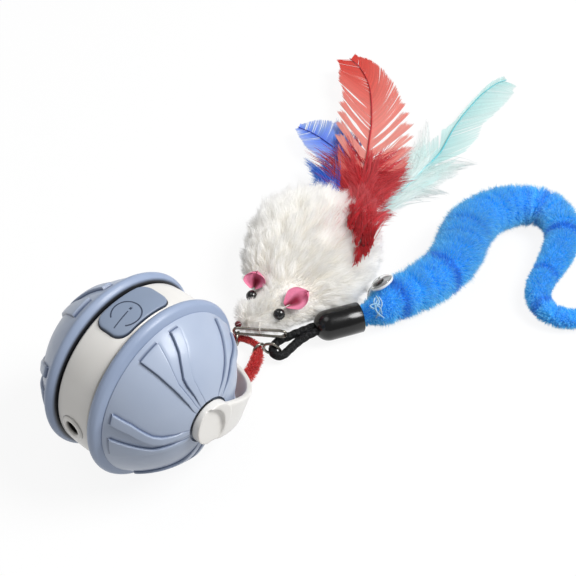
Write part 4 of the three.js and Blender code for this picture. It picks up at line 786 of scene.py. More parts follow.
def even_outline(w, h, corner, count):
    """Points spaced evenly round a rounded rectangle, anticlockwise: four quarter circles about the
    corners' centres and the straights between."""
    turn = np.radians(np.linspace(0, 90, 24) + 90 * np.arange(4)[:, None])
    centres = np.array([[1, 1], [-1, 1], [-1, -1], [1, -1]]) * [w / 2 - corner, h / 2 - corner]
    p = (centres[:, None] + corner * np.stack([np.cos(turn), np.sin(turn)], -1)).reshape(-1, 2)
    p = np.vstack([p, p[:1]])
    s = np.concatenate([[0], np.cumsum(np.linalg.norm(np.diff(p, axis=0), axis=1))])
    want = np.linspace(0, s[-1], count, endpoint=False)
    return np.stack([np.interp(want, s, p[:, k]) for k in (0, 1)], -1)


def prism(name, outline, low, high):
    """The outline at two heights, walled and closed by a fan at each end."""
    n = len(outline)
    rings = [np.column_stack([outline, np.full(n, z)]) for z in (low, high)]
    verts = np.vstack(rings + [[[0, 0, low], [0, 0, high]]])
    return outward(piece(name, verts, grid_faces(2, n, wrap_cols=True), WHITE, None, tris=end_fans(2, n),
                         smooth=False))


def band():
    """A channel section turned about the axle, with the button's window and the port's hole cut through."""
    profile = fillet([
        [26.4, -7.2], [26.4, -5.7], [28.4, -5.7], [28.4, 5.7], [26.4, 5.7], [26.4, 7.2], [29.6, 7.2],
        [30.2, 6.6], [30.4, 3.3], [BAND_R, 0], [30.4, -3.3], [30.2, -6.6], [29.6, -7.2],
    ], 0.35, 3)
    obj = lathe("band_shell", profile, 288, WHITE, "chassis")
    combine(obj, prism("window", even_outline(*WINDOW, 96), AXLE_Z + 13, AXLE_Z + 40), "DIFFERENCE")
    sleeve = lathe("sleeve_cut", [[0.001, -10], [4.4, -10], [4.4, 12], [0.001, 12]], 48, WHITE, None,
                   axis="x", start=(-30, 0, AXLE_Z), sign=1, closed=False)
    combine(obj, sleeve, "DIFFERENCE")
    shade(obj, 40)
    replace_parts(obj, "centre_band")


def pad_face(x, y):
    """Height of the pad's face: a cylinder about the axle whose radius falls with the square of y."""
    return AXLE_Z + np.sqrt((PAD_R - PAD_CROWN * (np.abs(y) / (PAD_WIDTH / 2)) ** 2) ** 2 - x ** 2)


def button():
    """The pad: its outline drawn in from the edge by an inset and dropped under the face, which rounds its
    shoulder, and then shrunk to the middle on the face itself. Painted shade darkens the foot."""
    count = 120
    insets, drops = (0, 0, 0.08, 0.22, 0.45, 0.9), (2.4, 0.55, 0.28, 0.1, 0.02, 0.0)
    shoulder = [even_outline(PAD_LENGTH - 2 * inset, PAD_WIDTH - 2 * inset, PAD_CORNER - inset, count)
                for inset in insets]
    rings = np.array(shoulder + [shoulder[-1] * k for k in (0.75, 0.5, 0.25, 0.02)])
    drop = np.array(drops + (0.0,) * 4)[:, None]
    x, y = rings[..., 0], rings[..., 1]
    verts = np.stack([x, y, pad_face(x, y) - drop], -1).reshape(-1, 3)
    # Painted shade on the pad's foot
    crease = np.repeat([1.0, 1.0, 0.6] + [0.0] * 7, count)
    obj = outward(piece("button_pad", verts, grid_faces(len(rings), count, wrap_cols=True), BUTTON, "button",
                        crease=crease))
    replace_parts(obj, "power_button")


SIGN_AT, SIGN_R, SIGN_HALF = np.array([-3.2, -0.5]), 4.9, 0.24


def sign():
    """The generic power sign, an open ring and a bar with its end: each line widened by a half width to
    both sides and laid on the pad's face, 0.03 mm over it and 0.2 mm into it."""
    arc = np.radians(np.linspace(221, 146 + 360, 60))
    bar = np.linspace(0, 1, 20)[:, None]
    lines = [SIGN_R * np.stack([np.cos(arc), np.sin(arc)], -1), [-6.3, -0.9] + bar * [7.2, 1.0],
             [1.7, 0.2] + bar * [0.9, 0.1]]
    verts, quads, start = [], [], 0
    for line, half in zip(lines, (SIGN_HALF, SIGN_HALF * 0.8, SIGN_HALF * 1.7)):
        sideways = normed(np.gradient(line, axis=0))[:, None, ::-1] * [-1, 1]
        flat = SIGN_AT + line[:, None] + np.array([-1, -1, 1, 1])[:, None] * half * sideways
        height = pad_face(flat[..., 0], flat[..., 1]) + [-0.2, 0.03, 0.03, -0.2]
        verts.append(np.concatenate([flat, height[..., None]], -1).reshape(-1, 3))
        end = start + len(verts[-1])
        quads += [grid_faces(len(line), 4, wrap_cols=True) + start,
                  [[start + 3, start + 2, start + 1, start], [end - 4, end - 3, end - 2, end - 1]]]
        start = end
    outward(piece("power_sign", np.vstack(verts), np.vstack(quads), SIGN, "button", smooth=False))


def port():
    """A collar's section turned about the charging hole. Painted shade darkens its crease in the hole and
    at its foot.
    """
    profile = fillet([
        [2.5, 26.45], [4.2, 26.45], [4.2, 30.0], [4.8, 30.0], [4.6, 30.5], [4.1, 30.95], [3.1, 31.05],
        [2.7, 30.7], [2.5, 29.8],
    ], 0.16, 3)
    # Painted shade in the hole and at the collar's foot
    deep = np.interp(profile[:, 0], [2.52, 2.7, 4.3, 4.6], [1.0, 0.0, 0.0, 0.45]) * (profile[:, 1] < 30.6)
    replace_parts(lathe("port_collar", profile, 96, WHITE, "chassis", axis="x", crease=deep), "port_ring")


band()
button()
sign()
port()


# Bail

TILT = 34.5
BAIL_BACK, BAIL_SIDE = 43.0, 32.6
STRIP_HALF = 1.1
# The disc at each hub: its face, how far out it lies, and the hollow in it that leans towards a step
DISC_R, DISC_FACE = 7.7, 33.7
HOLLOW_R, HOLLOW_LEAN, STEP_HEADING = 10.3, 7, 50
SOFTEN_CELL = 0.00028


def bail_point(back, side, across):
    """A place in the bail's own plane, which slopes down and back from the axle by TILT: back along it,
    sideways, and across it."""
    c, s = math.cos(math.radians(TILT)), math.sin(math.radians(TILT))
    return np.stack([back * c + across * s, side + 0 * across, AXLE_Z - back * s + across * c], -1)


def hollow(side):
    """What the disc's face slopes into: a round plug, turned about an axis in the face so that it leans,
    whose edge ends in a step below the strip."""
    heading = math.radians(STEP_HEADING - TILT)
    to_step = np.array([math.cos(heading), 0, math.sin(heading)])
    hinge = Vector(np.cross(to_step, [0, 1, 0]).tolist())
    lean = np.array(Matrix.Rotation(math.radians(HOLLOW_LEAN), 3, hinge))
    turn = np.linspace(0, FULL_TURN, 96, endpoint=False)
    rows = [(0.01, 0.0), (9.7, 0.0), (10.15, -0.25), (HOLLOW_R, -0.8), (HOLLOW_R, -4.5), (0.01, -4.5)]
    r, out = np.array(rows).T[..., None]
    plug = np.stack([r * np.cos(turn), out + 0 * turn, r * np.sin(turn)], -1).reshape(-1, 3)
    verts = (plug - to_step * HOLLOW_R) @ lean.T + to_step * 4.1 + [0, 1.5 - DISC_FACE, AXLE_Z]
    return outward(piece("hollow", verts * [1, -side, 1], grid_faces(6, 96, wrap_cols=True), WHITE, None))


def bail():
    """A strip with rounded edges swept along half an ellipse, 9 mm wide and 14 mm at its ends, joined to
    its pivot discs, each with a hollow in its face. Where they meet it is softened as a moulding is."""
    rings = []
    for turn in np.linspace(-np.pi / 2, np.pi / 2, 81):
        c, s = math.cos(turn), math.sin(turn)
        out = normed(np.array([BAIL_SIDE * c, BAIL_BACK * s]))
        half = (9 + 5 * abs(s) ** 5) / 2
        corners = np.array([[-1, -1], [1, -1], [1, 1], [-1, 1]]) * [STRIP_HALF, half]
        section = fillet(corners, 0.9, 4)
        rings.append(bail_point(np.maximum(0, BAIL_BACK * c + out[0] * section[:, 0]),
                                BAIL_SIDE * s + out[1] * section[:, 0], section[:, 1]))
    rows, cols = len(rings), len(rings[0])
    verts = np.vstack(rings + [rings[0].mean(0), rings[-1].mean(0)])
    obj = outward(piece("bail_strip", verts, grid_faces(rows, cols, wrap_cols=True), WHITE, "drag_bail",
                        tris=end_fans(rows, cols)))
    profile = fillet([[0.001, 23.5], [1.5, 23.5], [1.5, 30.5], [DISC_R, 30.5], [DISC_R, DISC_FACE],
                      [0.001, DISC_FACE]], 0.2, 2, closed=False)
    for side in (-1, 1):
        combine(obj, lathe("disc", profile, 72, WHITE, None, sign=side, closed=False), "UNION")
        combine(obj, hollow(side), "DIFFERENCE")
    soften = obj.modifiers.new("soften", "REMESH")
    soften.mode = "VOXEL"
    soften.voxel_size = SOFTEN_CELL
    relax = obj.modifiers.new("relax", "SMOOTH")
    relax.factor = 0.5
    relax.iterations = 4
    bake(obj)
    obj.data.polygons.foreach_set("use_smooth", np.ones(len(obj.data.polygons), bool))
    obj.data.materials.clear()
    obj.data.materials.append(WHITE)
    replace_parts(obj, "bail")


bail()


# Clasps and threads

CLASP_RING_R, CLASP_WIRE_R = 2.4, 0.55


def ring_line(radius, centre, heading):
    """A circle in the upright plane that runs along the heading: radius times cosine along it and sine
    up."""
    turn = np.linspace(0, FULL_TURN, 64, endpoint=False)
    h = math.radians(heading)
    flat = np.cos(turn)[:, None] * [math.cos(h), math.sin(h), 0] + np.sin(turn)[:, None] * UP
    return radius * flat + np.asarray(centre, float)


def wire(name, lines, radius, material, body):
    """Round wires along closed lines, each in a plane of its own, as one piece: radius times cosine along
    the plane's normal and sine across the wire in the plane."""
    verts, quads, start = [], [], 0
    turn = np.linspace(0, FULL_TURN, 10, endpoint=False)[None, :, None]
    for line in lines:
        forward = normed(np.roll(line, -1, 0) - np.roll(line, 1, 0))
        flat = np.linalg.svd(line - line.mean(0), full_matrices=False)[2][2]
        over = normed(np.cross(forward, flat))[:, None]
        verts.append((line[:, None] + radius * (np.cos(turn) * flat + np.sin(turn) * over)).reshape(-1, 3))
        quads.append(grid_faces(len(line), 10, True, True) + start)
        start += len(verts[-1])
    return outward(piece(name, np.vstack(verts), np.vstack(quads), material, body))


def hairpin(a, b, low, high):
    """A long loop of wire on edge between two places, its ends rounded by rnd, as the CAD bends it."""
    a, b = np.array(a, float), np.array(b, float)
    length = np.linalg.norm(b - a)
    mid, rnd = (low + high) / 2, (high - low) * 0.45
    route = [(0, mid), (rnd * 0.35, high - rnd * 0.35), (rnd * 1.2, high), (length / 2, high),
             (length - rnd, high), (length, mid), (length - rnd, low), (length / 2, low), (rnd * 1.2, low),
             (rnd * 0.35, low + rnd * 0.35)]
    return smooth_curve([[*(a + s * (b - a) / length), z] for s, z in route], 120, closed=True)[0]


upper_lines = [ring_line(CLASP_RING_R, (52, 5, 4.15), 32), hairpin((51.3, 6.2), (62.4, -9.8), 6.7, 9.7)]
upper = wire("upper_clip", upper_lines, CLASP_WIRE_R, STEEL, "mouse")
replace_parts(upper, "upper_clasp")
lower_lines = [ring_line(CLASP_RING_R, (53, -4.7, 4.1), -11), hairpin((55.2, -5.2), (57.9, -11), 1, 6.4)]
lower = wire("lower_clip", lower_lines, CLASP_WIRE_R, STEEL, "tail")
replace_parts(lower, "lower_clasp")


# Cap

CAP_START, CAP_END, CAP_R = [72.846, -15.075, 6.4], [88.868, -24.325, 6.4], 5.9
# The cap's end is a quarter of an ellipse; behind it come the side, the rolled lip and the socket
dimple = [[0.9, 2.4], [1.2, 0.2]]
nose = [[CAP_R * math.sin(t), 5.6 - 5.6 * math.cos(t)] for t in np.linspace(0.22, math.pi / 2, 16)]
socket = [[CAP_R, 12.0], [5.88, 18.2], [5.7, 18.5], [5.1, 18.5], [4.85, 18.2], [4.8, 11], [0.01, 10.8]]
cap = along("tail_cap_shell", dimple + nose + socket, CAP_START, CAP_END, 72, CAP, "tail")
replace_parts(cap, "tail_cap")


# Fluffy tail

# Points along the tail as shares: back, aside and radius
TAIL_SHARES = [
    [0, 0, 0.385], [0.056, -0.031, 0.422], [0.096, -0.05, 0.569], [0.146, -0.072, 0.752],
    [0.216, -0.098, 0.844], [0.328, -0.13, 0.899], [0.439, -0.144, 0.936], [0.555, -0.125, 0.982],
    [0.669, -0.086, 1],
    [0.79, -0.076, 0.936], [0.9, -0.104, 0.881], [0.985, -0.158, 0.826], [1.028, -0.238, 0.789],
    [1.006, -0.318, 0.752], [0.926, -0.384, 0.697], [0.83, -0.418, 0.642], [0.736, -0.434, 0.569],
    [0.652, -0.45, 0.523], [0.592, -0.478, 0.495], [0.556, -0.522, 0.477], [0.546, -0.574, 0.45],
    [0.572, -0.632, 0.422], [0.632, -0.678, 0.394], [0.712, -0.702, 0.367], [0.796, -0.702, 0.33],
    [0.87, -0.674, 0.284],
]
TAIL_START, TAIL_SPAN, TAIL_R = [84.191, -21.625, 0], 100, 10.9
NECK_R, NECK_LIFT = 4.2, 2.2
TAIL_N, TAIL_SIDES = 520, 40
PILE_COUNT, TUFT = 36000, 2.3
tail_points = TAIL_START + np.array(TAIL_SHARES) * [TAIL_SPAN, TAIL_SPAN, TAIL_R]
tail_line, tail_length = smooth_curve(tail_points, TAIL_N)
tail_radius = tail_line[:, 2].copy()
# The tail lies on the floor, but for the neck, which is lifted to the cap
neck = NECK_LIFT * smoothstep(0, 1, (NECK_R * 1.9 - tail_radius) / NECK_R)
tail_middle = tail_line.copy()
tail_middle[:, 2] = tail_radius + neck * (np.linspace(0, 1, TAIL_N) < 0.5)
tail_flat = normed(np.gradient(tail_middle, axis=0) * [1, 1, 0])
tail_across = np.cross(UP, tail_flat)


def plush_core(outer):
    """A round section along the tail, 0.72 of its radius, uneven by smoothed random waves."""
    wave = rng.normal(size=(TAIL_N, TAIL_SIDES))
    for _ in range(3):
        beside = np.roll(wave, 1, 0) + np.roll(wave, -1, 0) + np.roll(wave, 1, 1) + np.roll(wave, -1, 1)
        wave = (wave + beside) / 3.2
    turn = np.linspace(0, FULL_TURN, TAIL_SIDES, endpoint=False)[None, :, None]
    radius = (outer[:, None] * 0.72 + 0.25 * wave)[..., None]
    rings = tail_middle[:, None] + radius * (np.cos(turn) * tail_across[:, None] + np.sin(turn) * UP)
    verts = np.vstack([rings.reshape(-1, 3), tail_middle[:1], tail_middle[-1:]])
    quads = grid_faces(TAIL_N, TAIL_SIDES, wrap_cols=True)
    core = outward(piece("tail_core", verts, quads, PLUSH_CORE, "tail", tris=end_fans(TAIL_N, TAIL_SIDES)))
    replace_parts(core, "fluffy_tail")


def plush_pile(part, seed, outer):
    """Chenille pile: strands stand out from the core all round, in tufts TUFT long. Each tuft leans its own
    way and draws its strands to its middle, and the pile parts in folds where two slow waves meet."""
    g = np.random.default_rng(seed)
    n = PILE_COUNT
    weight = np.cumsum(outer)
    share = np.interp(g.random(n), weight / weight[-1], np.linspace(0, 1, TAIL_N))
    run = share * tail_length
    tuft = np.floor(run / TUFT + 0.35 * np.sin(run * 0.9))
    lean = np.random.default_rng(5).normal(0, 0.2, 400)[tuft.astype(int)]
    pull = ((tuft + 0.5) * TUFT - run) * 0.05
    parting = np.sin(run * 0.62 + 1.4 * np.sin(run * 0.11)) * 0.5 + 0.5 * np.sin(run * 0.29 + 1.0)
    fold = smoothstep(0.45, 0.95, parting)
    i = np.clip((share * (TAIL_N - 1)).astype(int), 0, TAIL_N - 1)
    f, r = tail_flat[i], outer[i]
    angle = g.uniform(0, FULL_TURN, n)[:, None]
    way = np.cos(angle) * tail_across[i] + np.sin(angle) * UP
    roots = tail_middle[i] + way * (r * 0.62)[:, None] + f * g.uniform(-0.2, 0.2, n)[:, None]
    direction = way + f * (lean + pull + g.normal(0, 0.16, n))[:, None] + 0.13 * g.normal(size=(n, 3))
    lengths = r * 0.4 * (1.02 - 0.1 * fold) * g.uniform(0.82, 1.08, n)
    bend = 0.12 * g.normal(size=(n, 3)) + f * (lean * 0.15)[:, None]
    side = np.cross(direction, f + 0.5 * g.normal(size=(n, 3)))
    widths = g.uniform(0.2, 0.34, n)
    v, q, t, tip, tone = ribbons(roots, direction, lengths, widths, g, bend, side=side)
    v[:, 2] = np.maximum(v[:, 2], 0.25)
    # Painted shade for strands where the pile parts in a fold
    deep = np.repeat(0.75 * fold * g.uniform(0.5, 1, n), len(v) // n)
    piece("tail_plush_" + part, v, q, PLUSH, "tail", tris=t, tip=tip, tone=tone, fold=deep)


plush_core(tail_radius - 0.2)
plush_pile("a", 11, tail_radius - 0.2)
plush_pile("b", 12, tail_radius - 0.2)

EYE_SHARE, EYE_SINK, EYE_LEAN = 0.083, 0.5, 0.34
# Profiles as (radius, out): the white disc in its raised rim, and the loose black disc
EYE_DISC = [[0.01, 0], [4.5, 0], [4.75, 0.2], [4.75, 0.9], [4.55, 1.05], [4.3, 1.0], [4.15, 0.75],
            [0.01, 0.75]]
EYE_PUPIL = [[0.01, 0.8], [2.1, 0.8], [2.25, 0.95], [2.25, 1.2], [2.1, 1.35], [0.01, 1.35]]


def cap_profile(radius, foot, rise):
    """Quarter of an ellipse, from its foot to just short of the axis."""
    turn = np.linspace(0, math.pi / 2 - 0.02, 14)
    return np.stack([radius * np.cos(turn), foot + rise * np.sin(turn)], -1)


def tail_eye(name, angle, node):
    """A wobbling eye: a white disc in a raised rim, a loose black disc that has slipped down, and a clear
    dome."""
    i = int(EYE_SHARE * (TAIL_N - 1))
    way = tail_across[i] * math.cos(math.radians(angle)) + UP * math.sin(math.radians(angle))
    seat = tail_middle[i] + way * (tail_radius[i] - EYE_SINK)
    way = normed(way - tail_flat[i] * EYE_LEAN)
    disc = along(name + "_disc", EYE_DISC, seat, seat + way, 48, EYE_WHITE, "tail")
    outside, inside = cap_profile(4.28, 0.95, 2.0), cap_profile(4.1, 0.8, 1.85)[::-1]
    lens = np.vstack([outside, inside, outside[:1]])
    along(name + "_lens", lens, seat, seat + way, 48, CLEAR, "tail")
    down_side = np.cross(way, tail_flat[i])
    slip = seat - 1.5 * down_side * np.sign(down_side[2]) - 0.6 * tail_flat[i]
    along(name + "_pupil", EYE_PUPIL, slip, slip + way, 40, BEAD, "tail")
    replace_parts(disc, node)


tail_eye("upper_eye", 56, "upper_tail_eye")
tail_eye("lower_eye", -14, "lower_tail_eye")


# Mouse

BODY = dict(length=66, width=56, height=29, narrow=0.25, heading=19, centre=(97.802, 9.004))
HEAD = dict(length=42, width=31, height=24, narrow=0.62, heading=-12, centre=(75.62, 1.366))
# The front of the mouse's body, seen from above, and how far the mouse lies above the drawing's floor
BODY_FRONT = np.array([66.6, -1.74])
LYING = 0.2
NOSE_TIP = np.array([55.2, 5.8, 8.0])
RUMP_AT = spot(350, 226, 20)
SKIN_ROWS, SKIN_COLS = 70, 110


def turned(point, heading):
    """The point turned about the upright axis by a heading in degrees."""
    c, s = math.cos(math.radians(heading)), math.sin(math.radians(heading))
    x, y, z = np.moveaxis(np.asarray(point, float), -1, 0)
    return np.stack([c * x - s * y, s * x + c * y, z], -1)


def stuffed(unit, length, width, height, narrow, heading, centre, margin=0.0):
    """The CAD's stuffed form: points of the unit sphere drawn out to the half sizes and a margin, slimmed
    towards the front, flattened below the middle, turned to the heading and set down."""
    x, y, z = unit[..., 0], unit[..., 1], unit[..., 2]
    slim = 1 - narrow * ((1 - x) / 2) ** 1.5
    low = np.where(z < 0, 0.8, 1.0)
    p = np.stack([x * (length / 2 + margin), y * slim * (width / 2 + margin),
                  z * low * slim * (height / 2 + margin) + height * 0.4], -1)
    return turned(p, heading) + [*centre, LYING]


def sphere_grid(rows, cols):
    """Unit sphere with its poles along X: cosine of one angle along it, its sine times cosine and sine
    round it."""
    a = np.linspace(0.001, np.pi - 0.001, rows)[:, None]
    b = np.linspace(0, FULL_TURN, cols, endpoint=False)[None]
    return np.stack([np.cos(a) + 0 * b, np.sin(a) * np.cos(b), np.sin(a) * np.sin(b)], -1)


def form_normals(unit, form):
    """Outward normals of the stuffed form: the cross product of two small steps over the sphere."""
    a = normed(np.cross(unit, np.array([0.31, 0.52, 0.8])))
    steps = [stuffed(normed(unit + 0.01 * way), **form) - stuffed(normed(unit - 0.01 * way), **form)
             for way in (a, np.cross(unit, a))]
    n = normed(np.cross(*steps))
    return n * np.sign(np.sum(n * unit, -1))[..., None]


def hairs(unit, g, coat, even):
    """Roots, lengths and ways of hairs on a form. A hair is combed back from the nose along the skin,
    swirls by two crossed waves and stands off by the coat's lift; it is longer towards the back and where
    the hair puffs."""
    p = stuffed(unit, margin=-coat["sink"], **coat["form"])
    n = form_normals(unit, coat["form"])
    comb = normed((p - NOSE_TIP) * [1, 1, 0.3])
    comb -= n * np.sum(comb * n, 1)[:, None]
    m = len(p)
    wave = np.sin(p[:, 0] * 0.41 + 2 * np.sin(p[:, 1] * 0.27))
    wave *= np.sin(p[:, 1] * 0.45 + 1.5 * np.sin(p[:, 0] * 0.23))
    swirl = np.cross(n, comb) * (0.22 * wave + 0.2 * g.normal(size=m))[:, None]
    back = np.clip(np.linalg.norm(p - NOSE_TIP, axis=1) / 70, 0, 1)
    short, long = coat["hair"]
    lengths = (short + (long - short) * back) * (g.uniform(0.6, 1.1, m) if even else 1.1)
    for pixel, reach, more in coat["puffs"]:
        lengths += more * np.exp(-np.sum(((p - spot(*pixel)) / reach) ** 2, 1)) * g.uniform(0.5, 1, m)
    lengths = np.maximum(lengths, 2.0)
    for at, reach, keep in BARE:
        lengths *= 1 - (1 - keep) * np.exp(-(np.linalg.norm(p - at, axis=1) / reach) ** 4)
    way = n * coat["lift"] + comb * (0.95 - 0.4 * coat["lift"]) + swirl + 0.12 * g.normal(size=(m, 3))
    return p, lengths, normed(way)


def furry(name, coat):
    """A stuffed skin under fine fur, in two pieces. A hair bends from its own way towards the tip of the
    nearest of a few hundred locks, and some hairs at the rump are streaked with red."""
    points = stuffed(sphere_grid(SKIN_ROWS, SKIN_COLS), margin=-coat["sink"], **coat["form"]).reshape(-1, 3)
    quads = grid_faces(SKIN_ROWS, SKIN_COLS, wrap_cols=True)
    skin = outward(piece(name + "_skin", points, quads, FUR_SKIN, "mouse"))
    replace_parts(skin, name)
    g = np.random.default_rng(coat["seed"])
    locks = coat["locks"]
    lock = normed(g.normal(size=(locks, 3)))
    lock_root, lock_length, lock_way = hairs(lock, g, coat, False)
    lock_way = lock_way + 0.16 * g.normal(size=(locks, 3))
    lock_tip = lock_root + lock_way * (lock_length * g.uniform(0.85, 1.15, locks))[:, None]
    for part in ("a", "b"):
        g = np.random.default_rng(coat["seed"] + ord(part))
        unit = normed(g.normal(size=(coat["count"], 3)))
        unit = unit[unit[:, 2] > -0.85]
        p, lengths, way = hairs(unit, g, coat, True)
        m = len(p)
        mine = np.argmax(unit.astype(np.float32) @ lock.T.astype(np.float32), 1)
        share = np.clip(coat["gather"] + 0.2 * g.normal(size=m), 0, 0.92)[:, None]
        end = (p + way * lengths[:, None]) * (1 - share) + lock_tip[mine] * share
        bend = (end - p) / lengths[:, None] - way + 0.04 * g.normal(size=(m, 3))
        widths = g.uniform(*coat["widths"], m)
        v, q, t, tip, tone = ribbons(p, way, lengths, widths, g, bend)
        v[:, 2] = np.maximum(v[:, 2], 0.3)
        near = np.exp(-np.sum(((p[:, :2] - RUMP_AT[:2]) / [12, 7]) ** 2, 1)) * (g.random(m) < 0.16)
        piece(name + "_fur_" + part, v, q, FUR, "mouse", tris=t, tip=tip, tone=tone,
              streak=np.repeat(near, len(v) // m))


LEFT_EAR_AT, RIGHT_EAR_AT = spot(254.5, 280, 15.5), spot(295, 299, 15)
LEFT_EYE_AT, RIGHT_EYE_AT = [turned((0, k * 7.18, 13.2), -2.4) + [65.16, 2.645, LYING] for k in (1, -1)]
# Where the hair is short, so that ears and eyes show: the place, its reach and the share that stays
BARE = [(LEFT_EAR_AT, 7.0, 0.08), (RIGHT_EAR_AT, 9.0, 0.06), (LEFT_EYE_AT, 5.0, 0.06),
        (RIGHT_EYE_AT, 3.6, 0.2)]
# puffs has the photograph's pixel and the height, the reach along X, Y and Z, and the mm of hair added there
BODY_COAT = dict(
    form=BODY, count=38000, seed=21, hair=(5.0, 9.5), sink=2.0, lift=0.6, widths=(0.1, 0.19), locks=900,
    gather=0.5,
    puffs=[((300, 215, 22), [14, 12, 12], 2.0), ((350, 215, 16), [12, 12, 12], -3.5),
           ((380, 255, 10), [17, 17, 17], -5.5), ((238, 252, 13), [14, 14, 14], -6.0),
           ((258, 206, 14), [9, 9, 9], 3.5)])
HEAD_COAT = dict(
    form=HEAD, count=20000, seed=22, hair=(2.4, 4.6), sink=1.2, lift=0.65, widths=(0.09, 0.16), locks=600,
    gather=0.4,
    puffs=[((250, 325, 8), [9, 7, 9], 3.2), ((285, 333, 6), [14, 7, 9], 2.6),
           ((243, 312, 8), [7, 6, 8], 3.0)])
furry("mouse_body", BODY_COAT)
furry("mouse_head", HEAD_COAT)


def bead(name, node, at, side):
    """A pressed glass bead: half an ellipse turned, with a dimple where its thread goes through."""
    turn = np.linspace(0, math.pi - 0.16, 26)
    face = np.stack([2.25 * np.sin(turn) + 0.01, -2.0 * np.cos(turn)], -1)
    way = normed(np.array([-0.55, side * 0.5, 0.45]))
    profile = np.vstack([face, [[0.25, 1.92], [0.12, 1.6]]])
    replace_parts(along(name, profile, at, at + way, 36, BEAD, "mouse"), node)


bead("left_eye_bead", "left_mouse_eye", LEFT_EYE_AT, 1)
bead("right_eye_bead", "right_mouse_eye", RIGHT_EYE_AT, -1)


def ear(name, node, root, tip, half_width, open_to, fold):
    """A felt ear on a grid of u from root to tip and w from side to side. Its half width is an oval of u,
    it bows and cups by sine and cosine of w, and two narrow bell curves of w crease it; a second layer lies
    0.6 mm below and a wall joins them. Painted shade darkens it deep in the fold."""
    rows, cols, bow, felt = 30, 37, 1.35, 0.6
    size = np.linalg.norm(tip - root)
    up_way = (tip - root) / size
    facing = normed(open_to - up_way * (np.array(open_to) @ up_way))
    lateral = np.cross(facing, up_way)
    u, w = np.linspace(0, 1, rows)[:, None], np.linspace(-1, 1, cols)[None]
    half = half_width * (1 - np.abs((u * 0.97 - 0.47) / 0.5005) ** 2.4) ** 0.5
    half = half * (0.6 + 0.4 * smoothstep(0, 0.5, u))
    x = size * u * (1 - 0.1 * w ** 2)
    y = half * np.sin(w * bow) / np.sin(bow)
    cup = fold * (1 - np.cos(w * bow)) + 0.5 * np.sin(u * 3) + 0.35 * np.sin(w * 5) * u
    crease = 0.5 * np.exp(-((w - 0.3) / 0.12) ** 2) * u
    crease = crease - 1.5 * np.exp(-((w + 0.1) / 0.16) ** 2) * (1 - 0.75 * u)
    top = np.stack([x, y, cup + crease], -1).reshape(-1, 3)
    flat = np.vstack([top, top - [0, 0, felt]])
    verts = root + flat[:, :1] * up_way + flat[:, 1:2] * lateral + flat[:, 2:] * facing
    n = rows * cols
    number = np.arange(n).reshape(rows, cols)
    rim = np.concatenate([number[:, 0], number[-1, 1:], number[-2::-1, -1], number[0, -2:0:-1]])
    after = np.roll(rim, -1)
    wall = np.stack([rim, after, after + n, rim + n], -1)
    # Painted shade deep in the fold
    deep = ((1 - smoothstep(0.12, 0.45, np.abs(w + 0.1))) * (1 - smoothstep(0.45, 0.8, u))).ravel()
    quads = np.vstack([grid_faces(rows, cols), grid_faces(rows, cols, flip=True) + n, wall])
    obj = outward(piece(name, verts, quads, EAR, "mouse", inside=np.concatenate([deep, 0 * deep])))
    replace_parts(obj, node)


# Each ear's root and tip, by pixels of the photograph with a height
LEFT_EAR = spot(253.5, 288.0, 14.2), spot(257.0, 270.8, 20.0)
RIGHT_EAR = spot(285.0, 306.0, 15.2), spot(309.0, 291.5, 18.8)
EAR_HALF = 4.3
ear("left_ear_felt", "left_mouse_ear", *LEFT_EAR, EAR_HALF, [-0.8, -0.45, 0.0], 2.3)
ear("right_ear_felt", "right_mouse_ear", *RIGHT_EAR, EAR_HALF, [-0.62, -0.25, 0.75], 1.4)

# The nose: half an ellipse turned, waved as wound thread is
nose_at = turned((-22.2, 0.3, 9.2), HEAD["heading"]) + [*HEAD["centre"], LYING]
nose_turn = np.linspace(0, math.pi - 0.1, 22)
knot = np.stack([1.3 * np.sin(nose_turn) + 0.01, 0.12 * np.sin(9 * nose_turn) - 1.2 * np.cos(nose_turn)], -1)
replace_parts(along("nose_knot", knot, nose_at, nose_at + [-1, 0.2, 0.3], 20, NOSE, "mouse"), "mouse_nose")

# Loose threads at the worm's neck, each by pixels of the photograph with a height
LOOSE_THREADS = [
    [(376, 296, 15.5), (379, 302, 15), (376, 308, 14), (379, 316, 10)],
    [(379, 297, 15), (382, 303, 14), (380, 310, 12), (376, 318, 8.5)],
    [(380, 305, 14), (375, 304, 15), (370, 306, 15), (374, 309, 14)],
    [(375, 298, 15.5), (374, 303, 15), (380, 308, 13), (382, 314, 10)],
    [(378, 299, 15), (375, 306, 14.5), (377, 312, 12.5), (384, 318, 8)],
]
for k, pixels in enumerate(LOOSE_THREADS):
    line = smooth_curve([spot(*pixel) for pixel in pixels], 30)[0]
    tube("loose_thread_%d" % k, line, 0.3, 8, THREAD, "tail")
sewn = wire("sewn_thread", [ring_line(2.1, (57.6, -1.2, 9.7), 40)], 0.26, WHITE_THREAD, "mouse")
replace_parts(sewn, "mouse_thread")


# Feathers

BARB_WIDTH = 0.55
WISP_WIDTHS = (0.2, 0.42)


def arcs(name, first, mid, last, widths, material, g, side=None, floor=None, share=None):
    """Strands that leave their first point towards mid and end at last, each a parabola. share is each
    strand's place along its quill."""
    size = 2 * np.linalg.norm(mid - first, axis=1)
    bend = (first - 2 * mid + last) / size[:, None]
    v, q, t, tip, tone = ribbons(first, mid - first, size, widths, g, bend, stops=BARB_STOPS, side=side)
    if floor:
        v[:, 2] = np.maximum(v[:, 2], floor)
    run = 0 * tip if share is None else np.repeat(share, len(v) // len(first))
    return piece(name, v, q, material, "mouse", tris=t, tip=tip, tone=tone, along=run)


